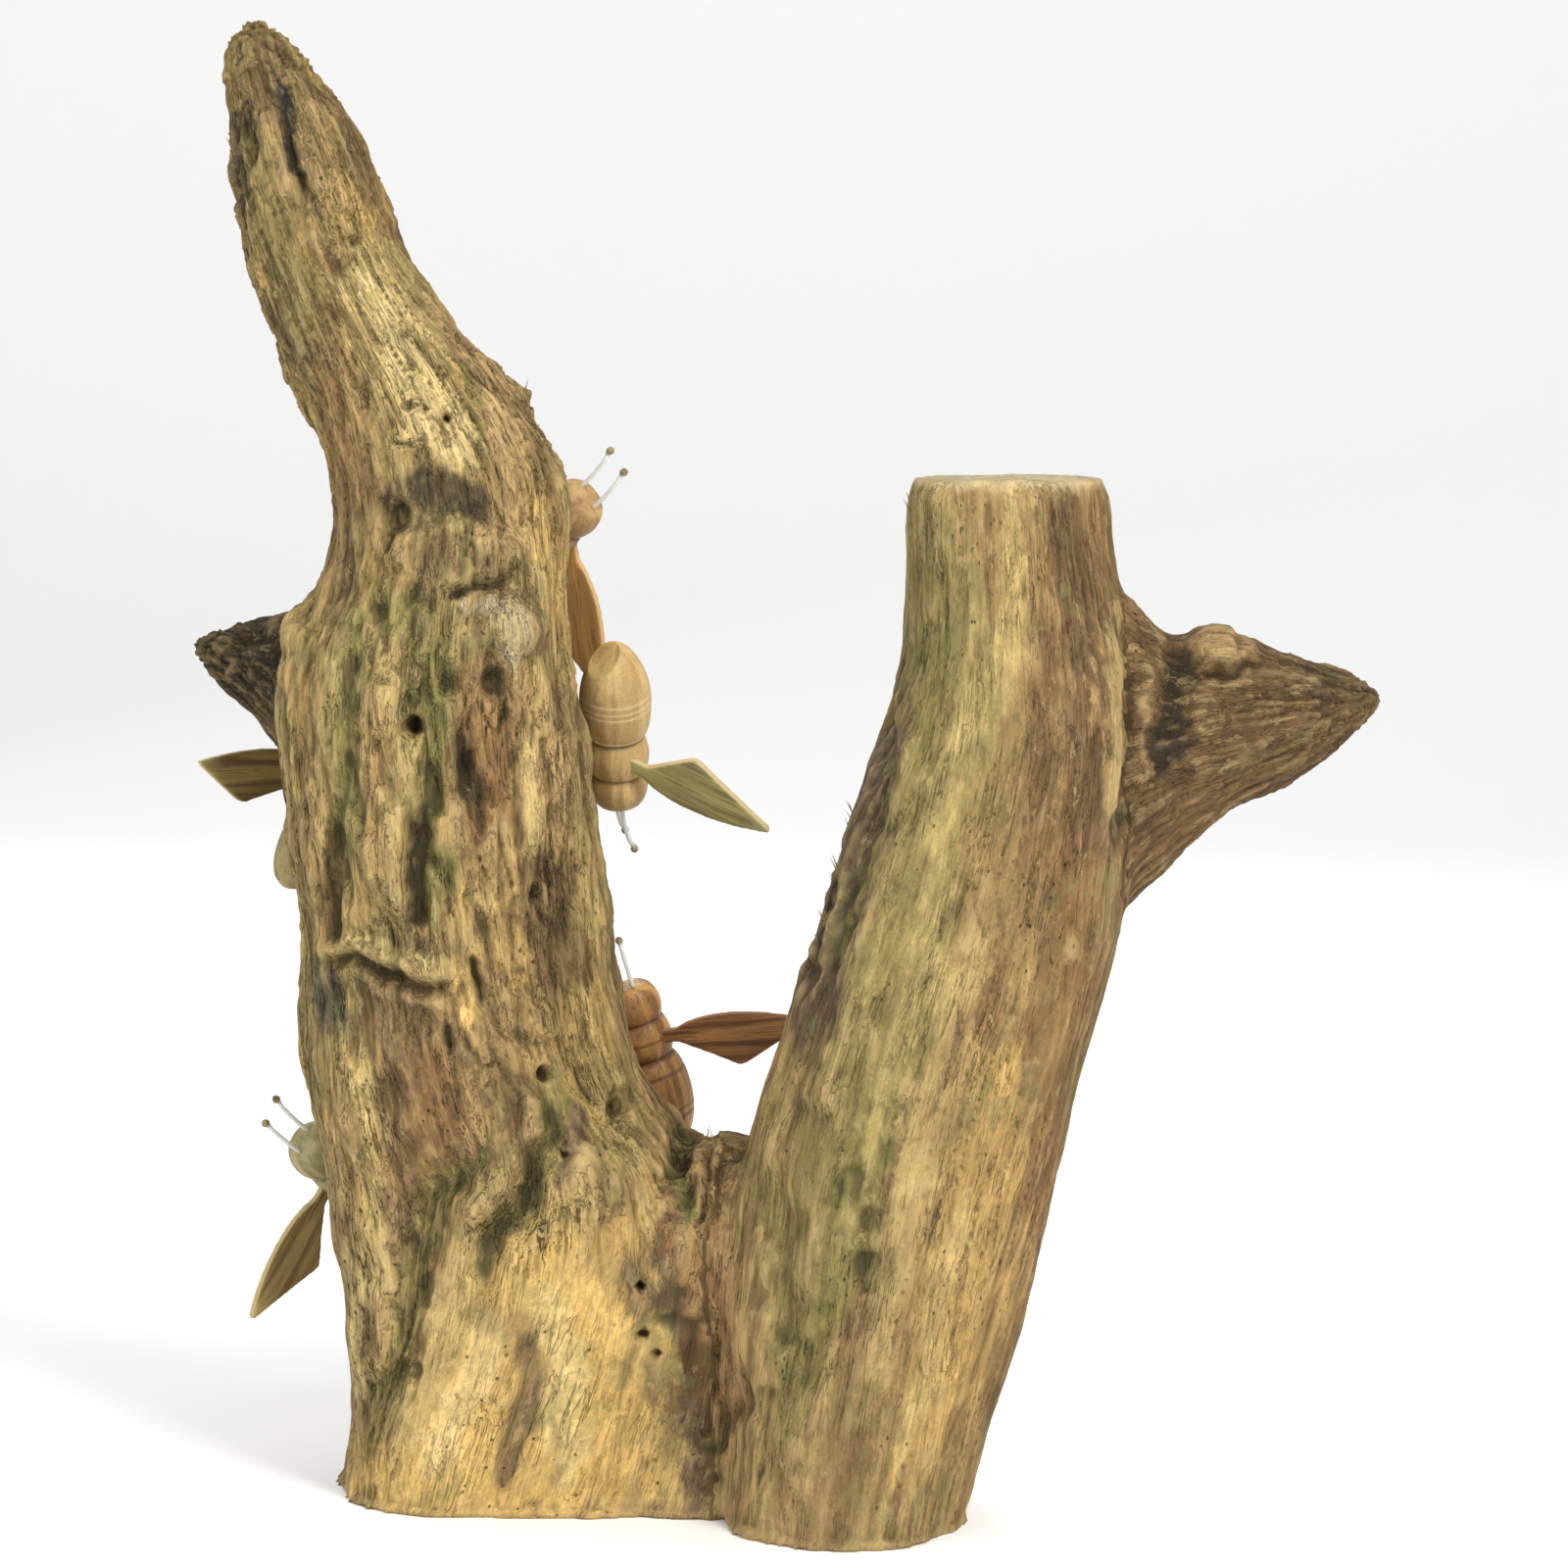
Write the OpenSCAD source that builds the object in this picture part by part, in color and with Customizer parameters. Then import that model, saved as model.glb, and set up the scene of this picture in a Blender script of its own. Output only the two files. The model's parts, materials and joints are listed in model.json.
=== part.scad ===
// Insect hotel: a forked root-wood log on a sawn foot, with nest holes drilled in its far side
// and five turned wooden bees pegged round it. Millimetres, +Z up, foot centred on the origin,
// drilled side towards +Y.

/* [Log] */
// Height of the left stem's tip above the foot
log_h = 500; // [430:5:620]
// Width of the sawn foot, left to right
foot_w = 216; // [180:2:270]
// Depth of the sawn foot, near to far
foot_d = 134; // [115:1:165]
// How deep the ridges along the grain are, as a share of the stem's radius
ridge = 0.03; // [0:0.01:0.05]

/* [Nest holes] */
// Diameter of a large nest hole
hole_large = 10; // [8.5:0.5:12]
// Diameter of a small nest hole
hole_small = 8; // [7:0.5:10]
// Depth of a nest hole, from its mouth
hole_depth = 50; // [30:1:60]

/* [Bee body] */
// Length of the abdomen, from its tip to the waist
abdomen_len = 36; // [28:1:44]
// Diameter of the abdomen
abdomen_d = 24.5; // [19:0.5:30]
// Length of the thorax
thorax_len = 14; // [11:0.5:18]
// Diameter of the thorax
thorax_d = 22; // [18:0.5:27]
// Length of the head
head_len = 13; // [10:0.5:16]
// Diameter of the head
head_d = 20.5; // [17:0.5:25]
// Diameter of the turned grooves between the three lobes
waist_d = 17; // [13:0.5:20]
// Diameter of the flat face sawn on the head
face_d = 12; // [10:0.5:15]

/* [Bee wings] */
// Length of a wing, from the thorax to its tip
wing_len = 51; // [40:1:62]
// Greatest width of a wing
wing_w = 18; // [14:0.5:22]
// Thickness of a wing
wing_t = 3; // [2.4:0.1:3.6]
// Width of the tab at a wing's root
tab_w = 5; // [4:0.1:6]
// Length of the tab that goes into the thorax
tab_len = 5; // [4:0.5:6]
// Clearance round a wing's tab in its slot
tab_gap = 0.1; // [0.05:0.05:0.3]

/* [Bee antennae] */
// Diameter of the line that the antennae are cut from
line_d = 1.6; // [1.2:0.1:2]
// Length of an antenna outside the head
antenna_len = 17.5; // [10:0.5:20]
// Length of an antenna inside the head
antenna_seat = 4; // [3:0.5:5]
// Distance between the two antennae at the face
antenna_pitch = 8.5; // [6:0.5:9]
// Diameter of the melted blob at an antenna's tip
blob_d = 2.8; // [2.2:0.1:3.4]
// Clearance round an antenna in its hole
line_gap = 0.05; // [0.03:0.01:0.1]

/* [Pegs] */
// Diameter of the peg that holds a bee on the log
peg_d = 6; // [5:0.5:7]
// Length of a peg inside the bee
peg_in_bee = 7; // [5:0.5:8]
// Length of a peg inside the log
peg_in_log = 14; // [10:1:18]
// Clearance round a peg in both of its bores
peg_gap = 0.1; // [0.05:0.05:0.2]
// Air left at the bottom of each blind bore
end_gap = 0.5; // [0.2:0.1:1]
// Gap between a bee's belly and its flat seat on the log
seat_gap = 0.3; // [0.1:0.1:0.5]

/* [Hidden] */
$fn = 48;
// Spacing of the rings along a limb, and the sides of a ring
ring_pitch = 10;
ring_sides = 28;
// How square a limb's section is: 2 is an ellipse
squareness = 2.4;
// The block that the saw takes off below the foot
off_cut = [600, 600, 60];
// The foot width, foot depth and height that the stations below are drawn at
drawn = [216, 134, 500];
grow = [foot_w / drawn[0], foot_d / drawn[1], log_h / drawn[2]];

// Stations of the upright limbs: [height, centre x, centre y, half width, half depth].
// They start below the foot, at three depths, and one saw cut levels them.
LEFT_STEM = [
    [-12, -40, -1, 69, 45], [0, -40, -1, 69, 45], [25, -39, -1, 66, 45], [60, -38, 0, 68, 46],
    [95, -41, 1, 69, 46], [120, -50, 2, 63, 46], [145, -61, 2, 56, 46], [175, -66, 2, 53, 46],
    [210, -69, 1, 51.5, 46], [245, -72, 0, 51, 46], [275, -75, -1, 50, 46], [295, -74, -2, 48, 45],
    [312, -70, 0, 42, 41], [330, -68, 2, 40, 37], [350, -70, 3, 39.5, 35], [368, -78, 4, 38, 33],
    [385, -89, 4, 33, 30], [405, -103, 4, 29, 28], [425, -111, 4, 26, 26], [450, -118, 3, 25, 24],
    [466, -121.5, 3, 21.5, 20],
    [476, -125.5, 3, 18, 17], [486, -131.5, 3, 14, 13.5], [495, -133, 3, 10, 9.5], [500, -133, 3, 4, 4]
];
RIGHT_STEM = [
    [-9, 63, -38, 40, 50], [0, 64, -38, 40, 50], [30, 68, -38, 43, 50], [65, 75, -37, 46, 50],
    [95, 80, -36, 49, 50], [130, 87, -34, 52, 50], [165, 97, -32, 51.5, 49], [195, 105, -29, 51, 48],
    [230, 113, -26, 48, 46], [262, 120, -23, 43, 43], [280, 122, -22, 38.5, 41], [300, 120.5, -20, 35.5, 38],
    [320, 119, -19, 33.5, 35], [338, 117.5, -18, 33.5, 33.5], [345, 117.5, -18, 32.5, 32.5],
    [347, 117.5, -18, 31, 31]
];
FORK_WEB = [
    [-6, 20, -8, 46, 38], [0, 20, -8, 46, 38], [50, 22, -8, 42, 38], [90, 23, -9, 34, 36],
    [108, 24, -10, 24, 32], [119, 25, -10, 14, 24], [123, 25, -10, 6, 12]
];
// Stations of the sideways limbs: [x, centre height, centre y, half height, half depth]
BRANCH = [
    [118, 248, -19, 60, 36], [140, 254, -16, 65, 35], [152, 256, -13, 59, 33], [166, 253, -9, 45, 30],
    [180, 257, -5, 35, 26], [198, 264, -2, 28, 22], [214, 264, 0, 23, 18], [228, 267, 1, 15, 13],
    [239, 270, 2, 9, 9], [246, 271, 2, 3, 4]
];
STUB = [
    [-158, 288, 30, 3, 4], [-152, 284, 29, 8, 9], [-143, 281, 28, 13, 12], [-134, 278, 26, 21, 17],
    [-122, 272, 24, 27, 22], [-96, 270, 22, 30, 24]
];
// The bees: [name, stem, height on it, angle round it, turn of the head from upright,
// left wing: [raise, sweep, corner], right wing: [raise, sweep, corner], [left, right antenna's lean]].
// Raise lifts a wing towards the bee's back, sweep turns it towards the head, and corner is
// how far along the wing its widest place lies. An antenna bends outwards at a lean of 0,
// towards the back at 90 and inwards at 180.
BEES = [
    ["high", LEFT_STEM, 327, 55, 56, [10, -27, 0.55], [14, -6, 0.55], [150, 20]],
    ["side", LEFT_STEM, 250.5, 16, -155, [8, 20, 0.40], [60, 23, 0.36], [60, 60]],
    ["fork", LEFT_STEM, 147, 33.5, 0, [40, -4, 0.50], [24, 12, 0.42], [150, 30]],
    ["left", LEFT_STEM, 235.5, 120.5, 42, [20, -20, 0.55], [-4, -36, 0.66], [40, 40]],
    ["low", LEFT_STEM, 107, 147, -57, [16, -4, 0.50], [24, -4, 0.48], [20, 140]]
];
PIECES = ["body", "left_wing", "right_wing", "left_antenna", "right_antenna", "peg"];

// Nest holes: [height on the stem, offset from its centre line, diameter]
LEFT_HOLES = [
    [40, 18, hole_large], [48, -20, hole_small], [76, 5, hole_large], [100, 28, hole_small],
    [122, 3, hole_large], [150, 22, hole_large], [178, 3, hole_small], [184, 32, hole_large],
    [212, 21, hole_large], [243, 8, hole_small], [272, -11, hole_large], [285, 23, hole_small]
];
RIGHT_HOLES = [
    [44, 6, hole_large], [76, -12, hole_small], [92, 18, hole_large], [122, -4, hole_large],
    [148, 20, hole_small], [160, -16, hole_large], [190, 4, hole_large], [214, -18, hole_small],
    [252, -2, hole_large], [284, -10, hole_small]
];
HOLES = concat(
    [for (h = LEFT_HOLES) concat([LEFT_STEM], h)],
    [for (h = RIGHT_HOLES) concat([RIGHT_STEM], h)]
);

// ---- Limbs of the log -------------------------------------------------------------------------

function station(list, i) = list[max(0, min(i, len(list) - 1))];
function before(list, at, i = 0) = i >= len(list) - 2 || at < list[i + 1][0] ? i : before(list, at, i + 1);
function slope(list, i) = (station(list, i + 1) - station(list, i - 1))
    / (station(list, i + 1)[0] - station(list, i - 1)[0]);
// The station at any place along a limb, on a smooth curve through the given ones
function section(list, at) = let (
        i = before(list, at),
        d = list[i + 1][0] - list[i][0],
        t = (at - list[i][0]) / d
    ) (1 + 2 * t) * pow(1 - t, 2) * list[i] + t * pow(1 - t, 2) * d * slope(list, i)
    + t * t * (3 - 2 * t) * list[i + 1] + t * t * (t - 1) * d * slope(list, i + 1);
function squarer(v) = sign(v) * pow(abs(v), 2 / squareness);
// A point on a section, as its offset from the centre
function round_section(s, a, r = 1) = [s[1] + s[3] * squarer(cos(a)) * r, s[2] + s[4] * squarer(sin(a)) * r];
// Ridges that wander slowly along the grain
function ridges(a, at, seed) = 1 + ridge * (
    sin(5 * a + 0.9 * at + seed) + 0.6 * sin(9 * a - 0.7 * at + 2 * seed) + 0.5 * sin(3 * a + 2.3 * at)
);
function grown(p) = [p[0] * grow[0], p[1] * grow[1], p[2] * grow[2]];

module limb(list, seed, upright = true) {
    first = list[0][0];
    run = list[len(list) - 1][0] - first;
    rings = ceil(run / ring_pitch);
    n = ring_sides;
    points = [
        for (r = [0:rings], k = [0:n - 1])
            let (
                at = first + run * r / rings,
                a = 360 * k / n,
                p = round_section(section(list, at), a, ridges(a, at, seed))
            )
            grown(upright ? [p[0], p[1], at] : [at, p[1], p[0]])
    ];
    faces = concat(
        [for (r = [0:rings - 1], k = [0:n - 1])
            let (a = r * n + k, b = r * n + (k + 1) % n)
            each [[a, a + n, b + n], [a, b + n, b]]],
        [[for (k = [0:n - 1]) k]],
        [[for (k = [n - 1:-1:0]) rings * n + k]]
    );
    backwards = [for (f = faces) [for (i = [len(f) - 1:-1:0]) f[i]]];
    polyhedron(points, upright ? faces : backwards, 4);
}

function far_side(list, at, off) = let (s = section(list, at))
    s[2] + s[4] * pow(1 - pow(abs(off) / s[3], squareness), 1 / squareness);
function hole_mouth(h) = grown([section(h[0], h[1])[1] + h[2], far_side(h[0], h[1], h[2]), h[1]]);
// How far a drill is run in from outside the ridges
hole_run_in = 15;

module nest_hole(h) {
    translate(hole_mouth(h) + [0, hole_run_in, 0])
        rotate([90, 0, 0])
            cylinder(d = h[3], h = hole_run_in + hole_depth);
}

module log() {
    color("#b59a5c") difference() {
        union() {
            limb(LEFT_STEM, 20);
            limb(RIGHT_STEM, 140);
            limb(FORK_WEB, 250);
            limb(BRANCH, 60, false);
            limb(STUB, 300, false);
        }
        translate([-off_cut[0] / 2, -off_cut[1] / 2, -off_cut[2]]) cube(off_cut);
        for (h = HOLES) nest_hole(h);
        for (b = BEES) on_seat(b) {
            body_form(seat_gap);
            peg_bore_in_log();
        }
    }
}

// ---- Where the bees sit -----------------------------------------------------------------------

// How deep a bee's belly sits in the groove carved for it
seat_sink = 1.6;
// From the log's surface out to a bee's axis
bee_rise = abdomen_d / 2 - seat_sink;

function log_skin(b, da = 0, dh = 0) = let (p = round_section(section(b[1], b[2] + dh), b[3] + da))
    grown([p[0], p[1], b[2] + dh]);
function unit(v) = v / norm(v);
function outwards(b) = unit(cross(log_skin(b, 4) - log_skin(b, -4), log_skin(b, 0, 8) - log_skin(b, 0, -8)));
function upwards(b) = let (n = outwards(b)) unit([0, 0, 1] - n * n[2]);
function head_way(b) = let (n = outwards(b), u = upwards(b)) u * cos(b[4]) + cross(n, u) * sin(b[4]);

// Children are drawn with the head towards +Z, the back towards +Y and the left side towards +X
module on_seat(b) {
    y = outwards(b);
    z = head_way(b);
    x = cross(y, z);
    o = log_skin(b) + y * bee_rise;
    multmatrix([[x[0], y[0], z[0], o[0]], [x[1], y[1], z[1], o[1]], [x[2], y[2], z[2], o[2]]])
        children();
}

// ---- Bees -------------------------------------------------------------------------------------

head_base = thorax_len / 2;
face_z = head_base + head_len;
waist_z = -thorax_len / 2;
tail_z = waist_z - abdomen_len;
// How far along the abdomen its widest place is, from the tip
abdomen_belly = 0.6;
outline_steps = 14;
// How full a lobe is towards its head end, and the abdomen towards its tip: 2 is an ellipse
front_round = 2.2;
tail_round = 1.8;

function rounded(u, p) = pow(max(0, 1 - pow(u, p)), 1 / p);
// A lobe's outline from z0 to z1, widest at zm, ending at radii r0 and r1
function lobe(z0, zm, z1, r0, rm, r1, p = 2) = concat(
    [for (i = [0:outline_steps - 1])
        let (u = 1 - i / outline_steps)
        [r0 + (rm - r0) * rounded(u, p), zm + (z0 - zm) * u]],
    [for (i = [0:outline_steps])
        let (u = i / outline_steps)
        [r1 + (rm - r1) * rounded(u, front_round), zm + (z1 - zm) * u]]
);
outline = concat(
    lobe(tail_z, tail_z + abdomen_belly * abdomen_len, waist_z, 0, abdomen_d / 2, waist_d / 2, tail_round),
    lobe(waist_z, 0, head_base, waist_d / 2, thorax_d / 2, waist_d / 2 + 1),
    lobe(head_base, head_base + 0.42 * head_len, face_z, waist_d / 2 + 1, head_d / 2, face_d / 2)
);
// The outline without repeated points, closed along the axis
turned = concat(
    [for (i = [0:len(outline) - 1]) if (i == 0 || norm(outline[i] - outline[i - 1]) > 0.01) outline[i]],
    [[0, face_z]]
);

// The turned shape, with every radius larger by grow_by
module body_form(grow_by = 0) {
    rotate_extrude()
        polygon(concat([[0, tail_z - grow_by]], [for (p = turned) if (p[0] > 0) [p[0] + grow_by, p[1]]],
            [[0, face_z]]));
}

module body(b) {
    color("#cfa768") difference() {
        body_form();
        for (side = [0, 1]) {
            wing_place(b, side) wing_slot();
            antenna_place(side)
                cylinder(d = line_d + 2 * line_gap, h = 2 * (antenna_seat + end_gap), center = true);
        }
        translate([0, peg_top + end_gap, 0])
            rotate([90, 0, 0])
                cylinder(d = peg_d + 2 * peg_gap, h = thorax_d / 2);
    }
}

// Pegs run along Y, from inside the thorax down into the log
peg_top = peg_in_bee - thorax_d / 2;
peg_foot = -bee_rise - peg_in_log;

module peg() {
    color("#a5824b") translate([0, peg_top, 0])
        rotate([90, 0, 0])
            cylinder(d = peg_d, h = peg_top - peg_foot);
}

module peg_bore_in_log() {
    translate([0, -thorax_d / 4, 0])
        rotate([90, 0, 0])
            cylinder(d = peg_d + 2 * peg_gap, h = -peg_foot + end_gap - thorax_d / 4);
}

// ---- Wings ------------------------------------------------------------------------------------

// A wing's root is on the thorax's flank, this far round towards the back and towards the head
wing_round = 20;
wing_forward = 0.5;
neck_len = 4;
// The share of the width that lies on the leading side
lead = 0.26;

// Side 0 is the left wing, along +X, and side 1 the right one
module wing_place(b, side) {
    angles = b[5 + side];
    mirror([side, 0, 0])
        translate([cos(wing_round) * thorax_d / 2, sin(wing_round) * thorax_d / 2, wing_forward])
            rotate([0, 0, angles[0]])
                rotate([0, -angles[1], 0])
                    children();
}

// Leading edge in one smooth curve, trailing edge straight to a corner and straight on to the tip
function wing_outline(corner) = concat(
    [[-tab_len, -tab_w / 2], [-tab_len, tab_w / 2]],
    [for (i = [0:12]) let (u = i / 12)
        [neck_len + (wing_len - neck_len) * u,
            tab_w / 2 * (1 - u) + lead * wing_w * pow(sin(180 * pow(u, 0.85)), 0.9)]],
    [[wing_len - 1, -1.5], [wing_len * corner + 2, 0.8 - (1 - lead) * wing_w],
     [wing_len * corner - 1, -(1 - lead) * wing_w], [wing_len * corner - 3, 1 - (1 - lead) * wing_w],
     [neck_len, -tab_w / 2]]
);

// Drawn with its length along +X, its leading edge towards +Z and its face towards +Y
module wing(b, side) {
    color("#b99653") rotate([90, 0, 0])
        linear_extrude(wing_t, center = true)
            polygon(wing_outline(b[5 + side][2]));
}

module wing_slot() {
    translate([(neck_len - tab_len - end_gap) / 2, 0, 0])
        cube([neck_len + tab_len + end_gap, wing_t + 2 * tab_gap, tab_w + 2 * tab_gap], center = true);
}

// ---- Antennae ---------------------------------------------------------------------------------

// How far an antenna bends over its length
antenna_bend = 28;
// The bent stretch starts this many degrees inside the straight one, and heat has drawn it thinner
rooted = 1;
drawn_thin = 0.08;

module antenna_place(side) {
    mirror([side, 0, 0]) translate([antenna_pitch / 2, 0, face_z]) children();
}

module antenna(lean) {
    bend_r = antenna_len * 180 / (PI * antenna_bend);
    color("#e9ece6") union() {
        translate([0, 0, -antenna_seat]) cylinder(d = line_d, h = antenna_seat);
        rotate([0, 0, lean])
            translate([bend_r, 0, 0])
                rotate([90, 0, 0])
                    rotate([0, 0, 180 - antenna_bend]) {
                        rotate_extrude(angle = antenna_bend + rooted)
                            translate([bend_r, 0])
                                circle(d = line_d - drawn_thin);
                        translate([bend_r, 0, 0])
                            sphere(d = blob_d);
                    }
    }
}

// ---- The sub-parts ----------------------------------------------------------------------------

log();
for (b = BEES) on_seat(b) {
    body(b);
    wing_place(b, 0) wing(b, 0);
    wing_place(b, 1) wing(b, 1);
    antenna_place(0) antenna(b[7][0]);
    antenna_place(1) antenna(b[7][1]);
    peg();
}
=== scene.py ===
# %% [markdown]
# # A root-wood insect hotel
#
# The real thing is a forked piece of root wood, sawn flat at the foot, with five little bees
# turned from dowel and pegged round it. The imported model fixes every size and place. Here each
# of its parts gets the surface that weather, the lathe and the saw gave the real one.

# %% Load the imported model
import json
import math
from itertools import product

import bmesh
import bpy
import numpy as np
from mathutils import Matrix, Vector
from mathutils.bvhtree import BVHTree

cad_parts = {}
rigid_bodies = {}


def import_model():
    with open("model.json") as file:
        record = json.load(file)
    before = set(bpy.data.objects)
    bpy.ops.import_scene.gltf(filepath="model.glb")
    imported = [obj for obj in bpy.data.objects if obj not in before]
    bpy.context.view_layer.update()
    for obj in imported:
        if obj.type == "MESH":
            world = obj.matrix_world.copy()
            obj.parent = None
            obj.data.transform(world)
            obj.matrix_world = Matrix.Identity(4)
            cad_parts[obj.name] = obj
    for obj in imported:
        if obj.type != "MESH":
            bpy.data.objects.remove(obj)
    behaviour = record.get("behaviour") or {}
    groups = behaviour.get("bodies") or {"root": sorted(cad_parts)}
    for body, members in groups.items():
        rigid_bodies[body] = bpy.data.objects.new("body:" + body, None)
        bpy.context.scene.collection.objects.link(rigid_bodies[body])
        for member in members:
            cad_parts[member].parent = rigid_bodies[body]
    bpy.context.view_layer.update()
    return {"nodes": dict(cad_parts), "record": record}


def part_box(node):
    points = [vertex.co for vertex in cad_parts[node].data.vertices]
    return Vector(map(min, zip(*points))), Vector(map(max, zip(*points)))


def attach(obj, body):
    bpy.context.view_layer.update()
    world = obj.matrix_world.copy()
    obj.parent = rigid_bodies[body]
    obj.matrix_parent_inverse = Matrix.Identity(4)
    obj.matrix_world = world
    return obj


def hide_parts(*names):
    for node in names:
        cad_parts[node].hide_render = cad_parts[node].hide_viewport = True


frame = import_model()
nodes = frame["nodes"]
scene = bpy.context.scene

# %% [markdown]
# ## Drawn sizes
#
# Folds, stains and knots are placed in millimetres on a log of the size below. If the packed
# log has another size, everything stretches with it.

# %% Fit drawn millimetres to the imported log
MM = 0.001
DRAWN = Vector((408, 184, 500)) * MM
log_low, log_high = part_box("log")
STRETCH = np.array([(log_high - log_low)[i] / DRAWN[i] for i in range(3)])
print("stretch of the drawn log", STRETCH.round(3))


def smoothstep(low, high, x):
    """0 below low, 1 above high, and a soft ramp between."""
    t = np.clip((x - low) / (high - low), 0, 1)
    return t * t * (3 - 2 * t)


def bell(x, width=1):
    """1 at 0, falling off on both sides."""
    return np.exp(-((x / width) ** 2))


# %% [markdown]
# ## Noise that is the same on every run
#
# Weathered wood is never regular, but the script has to give the same log each time. Value
# noise made from hashed whole numbers does both: every lattice cell gets its own fixed number
# and the space between is blended.

# %% Noise helpers
# Large odd numbers that scatter neighbouring cells and seeds
CELL_FACTORS = (73856093, 19349663, 83492791)
SEED_FACTOR = 264443
MIXERS = ((13, 1274126177), (15, 2246822519))


def lattice(cell, seed):
    """A fixed number from -1 to 1 for each whole-number cell."""
    h = (seed + 7) * SEED_FACTOR
    for axis, factor in enumerate(CELL_FACTORS):
        h = h ^ cell[:, axis] * factor
    for shift, factor in MIXERS:
        h = ((h ^ (h >> shift)) * factor) & 0xFFFFFFFF
    return ((h ^ (h >> 16)) & 0xFFFF) / 32767.5 - 1


def noise(points, seed):
    """Smooth noise from -1 to 1 at each point, with one bump to a unit."""
    cell = np.floor(points).astype(np.int64)
    t = points - cell
    t = t * t * t * (t * (6 * t - 15) + 10)
    total = np.zeros(len(points))
    for corner in product((0, 1), repeat=3):
        share = np.prod([t[:, i] if corner[i] else 1 - t[:, i] for i in range(3)], axis=0)
        total += share * lattice(cell + np.array(corner), seed)
    return total


def layered(points, seed, layers=3, fall=0.5):
    """Several noises, each twice as fine as the last and weaker by the fall."""
    total, size, strength = 0, 1.0, 1.0
    for i in range(layers):
        total = total + strength * noise(points * size + 17.3 * i, seed + i)
        size *= 2.03
        strength *= fall
    return total


# %% [markdown]
# ## Camera, light and floor
#
# The log stands on a plain pale floor that turns up into a backdrop. The camera looks down at
# it a little. One large soft light from the right, a weaker one from the left and a pale sky
# keep the shadows gentle.

# %% Camera
camera = bpy.data.objects.new("camera", bpy.data.cameras.new("camera"))
scene.collection.objects.link(camera)
camera.data.sensor_width = 36
camera.data.lens = 115.216
camera.location = (0.044, -1.6916, 0.4119)
camera.rotation_euler = (math.radians(84.287), 0, 0)
camera.data.clip_start = 0.1
scene.camera = camera


# %% Lights
def soft_light(name, place, target, size, power, colour):
    """A square lamp of that size in metres, turned to its target."""
    lamp = bpy.data.lights.new(name, "AREA")
    lamp.shape = "SQUARE"
    lamp.size = size
    lamp.energy = power
    lamp.color = colour
    obj = bpy.data.objects.new(name, lamp)
    scene.collection.objects.link(obj)
    obj.location = place
    obj.rotation_euler = (Vector(target) - Vector(place)).to_track_quat("-Z", "Y").to_euler()


soft_light("key", (0.95, -1.35, 1.55), (0.03, 0, 0.25), 0.7, 38, (1, 0.985, 0.95))
soft_light("fill", (-1.5, -1.2, 0.75), (0, 0, 0.25), 1.2, 14, (0.97, 0.985, 1))
soft_light("back", (-0.5, 1.6, 1.3), (0, 0, 0.3), 1.0, 12, (1, 1, 1))
world = bpy.data.worlds.new("pale_sky")
scene.world = world
world.use_nodes = True
sky = world.node_tree.nodes["Background"].inputs
sky["Color"].default_value = (1, 1, 1, 1)
sky["Strength"].default_value = 0.68
scene.view_settings.view_transform = "Standard"


# %% Floor and backdrop
def plain_material(name, colour, roughness):
    """One shader with one colour, for things that aren't part of the object."""
    made = bpy.data.materials.new(name)
    made.use_nodes = True
    shader = made.node_tree.nodes["Principled BSDF"]
    shader.inputs["Base Color"].default_value = (*colour, 1)
    shader.inputs["Roughness"].default_value = roughness
    return made


def sweep_floor(half=3.0, flat=2.0, bend=0.8, wall=4.0, steps=24):
    """A floor that runs flat behind the log, then curves up into a wall, in metres."""
    line = [(-half, 0.0)] + [
        (flat + bend * math.sin(a), bend - bend * math.cos(a))
        for a in np.linspace(0, math.pi / 2, steps)
    ]
    line.append((flat + bend, wall))
    verts = [(x, y, z) for y, z in line for x in (-half - 1, half + 1)]
    faces = [(2 * i, 2 * i + 1, 2 * i + 3, 2 * i + 2) for i in range(len(line) - 1)]
    mesh = bpy.data.meshes.new("floor")
    mesh.from_pydata(verts, [], faces)
    mesh.materials.append(plain_material("pale_floor", (0.93, 0.93, 0.93), 0.9))
    floor = bpy.data.objects.new("floor", mesh)
    scene.collection.objects.link(floor)
    for face in mesh.polygons:
        face.use_smooth = True
    return floor


floor = sweep_floor()
print("floor faces", len(floor.data.polygons))


# %% [markdown]
# ## The log's mesh
#
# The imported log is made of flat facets. A voxel remesh turns a copy of it into even, small
# faces that can be sculpted, and it keeps the drilled nest holes. Averaging each point with its
# neighbours then melts the facets away. The nest holes and the seats under the bees are held
# still, because they must stay round and true.

# %% Mesh helpers
def points_of(obj):
    """The mesh's points as rows of x, y, z in metres."""
    flat = np.empty(len(obj.data.vertices) * 3)
    obj.data.vertices.foreach_get("co", flat)
    return flat.reshape(-1, 3)


def move_points(obj, points):
    """Puts the mesh's points in these places."""
    obj.data.vertices.foreach_set("co", np.asarray(points, float).ravel())
    obj.data.update()


def normals_of(obj):
    """Each point's outward direction."""
    flat = np.empty(len(obj.data.vertices) * 3)
    obj.data.vertices.foreach_get("normal", flat)
    return flat.reshape(-1, 3)


def edges_of(obj):
    """Each edge's two points."""
    flat = np.empty(len(obj.data.edges) * 2, dtype=np.int32)
    obj.data.edges.foreach_get("vertices", flat)
    return flat.reshape(-1, 2)


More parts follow.
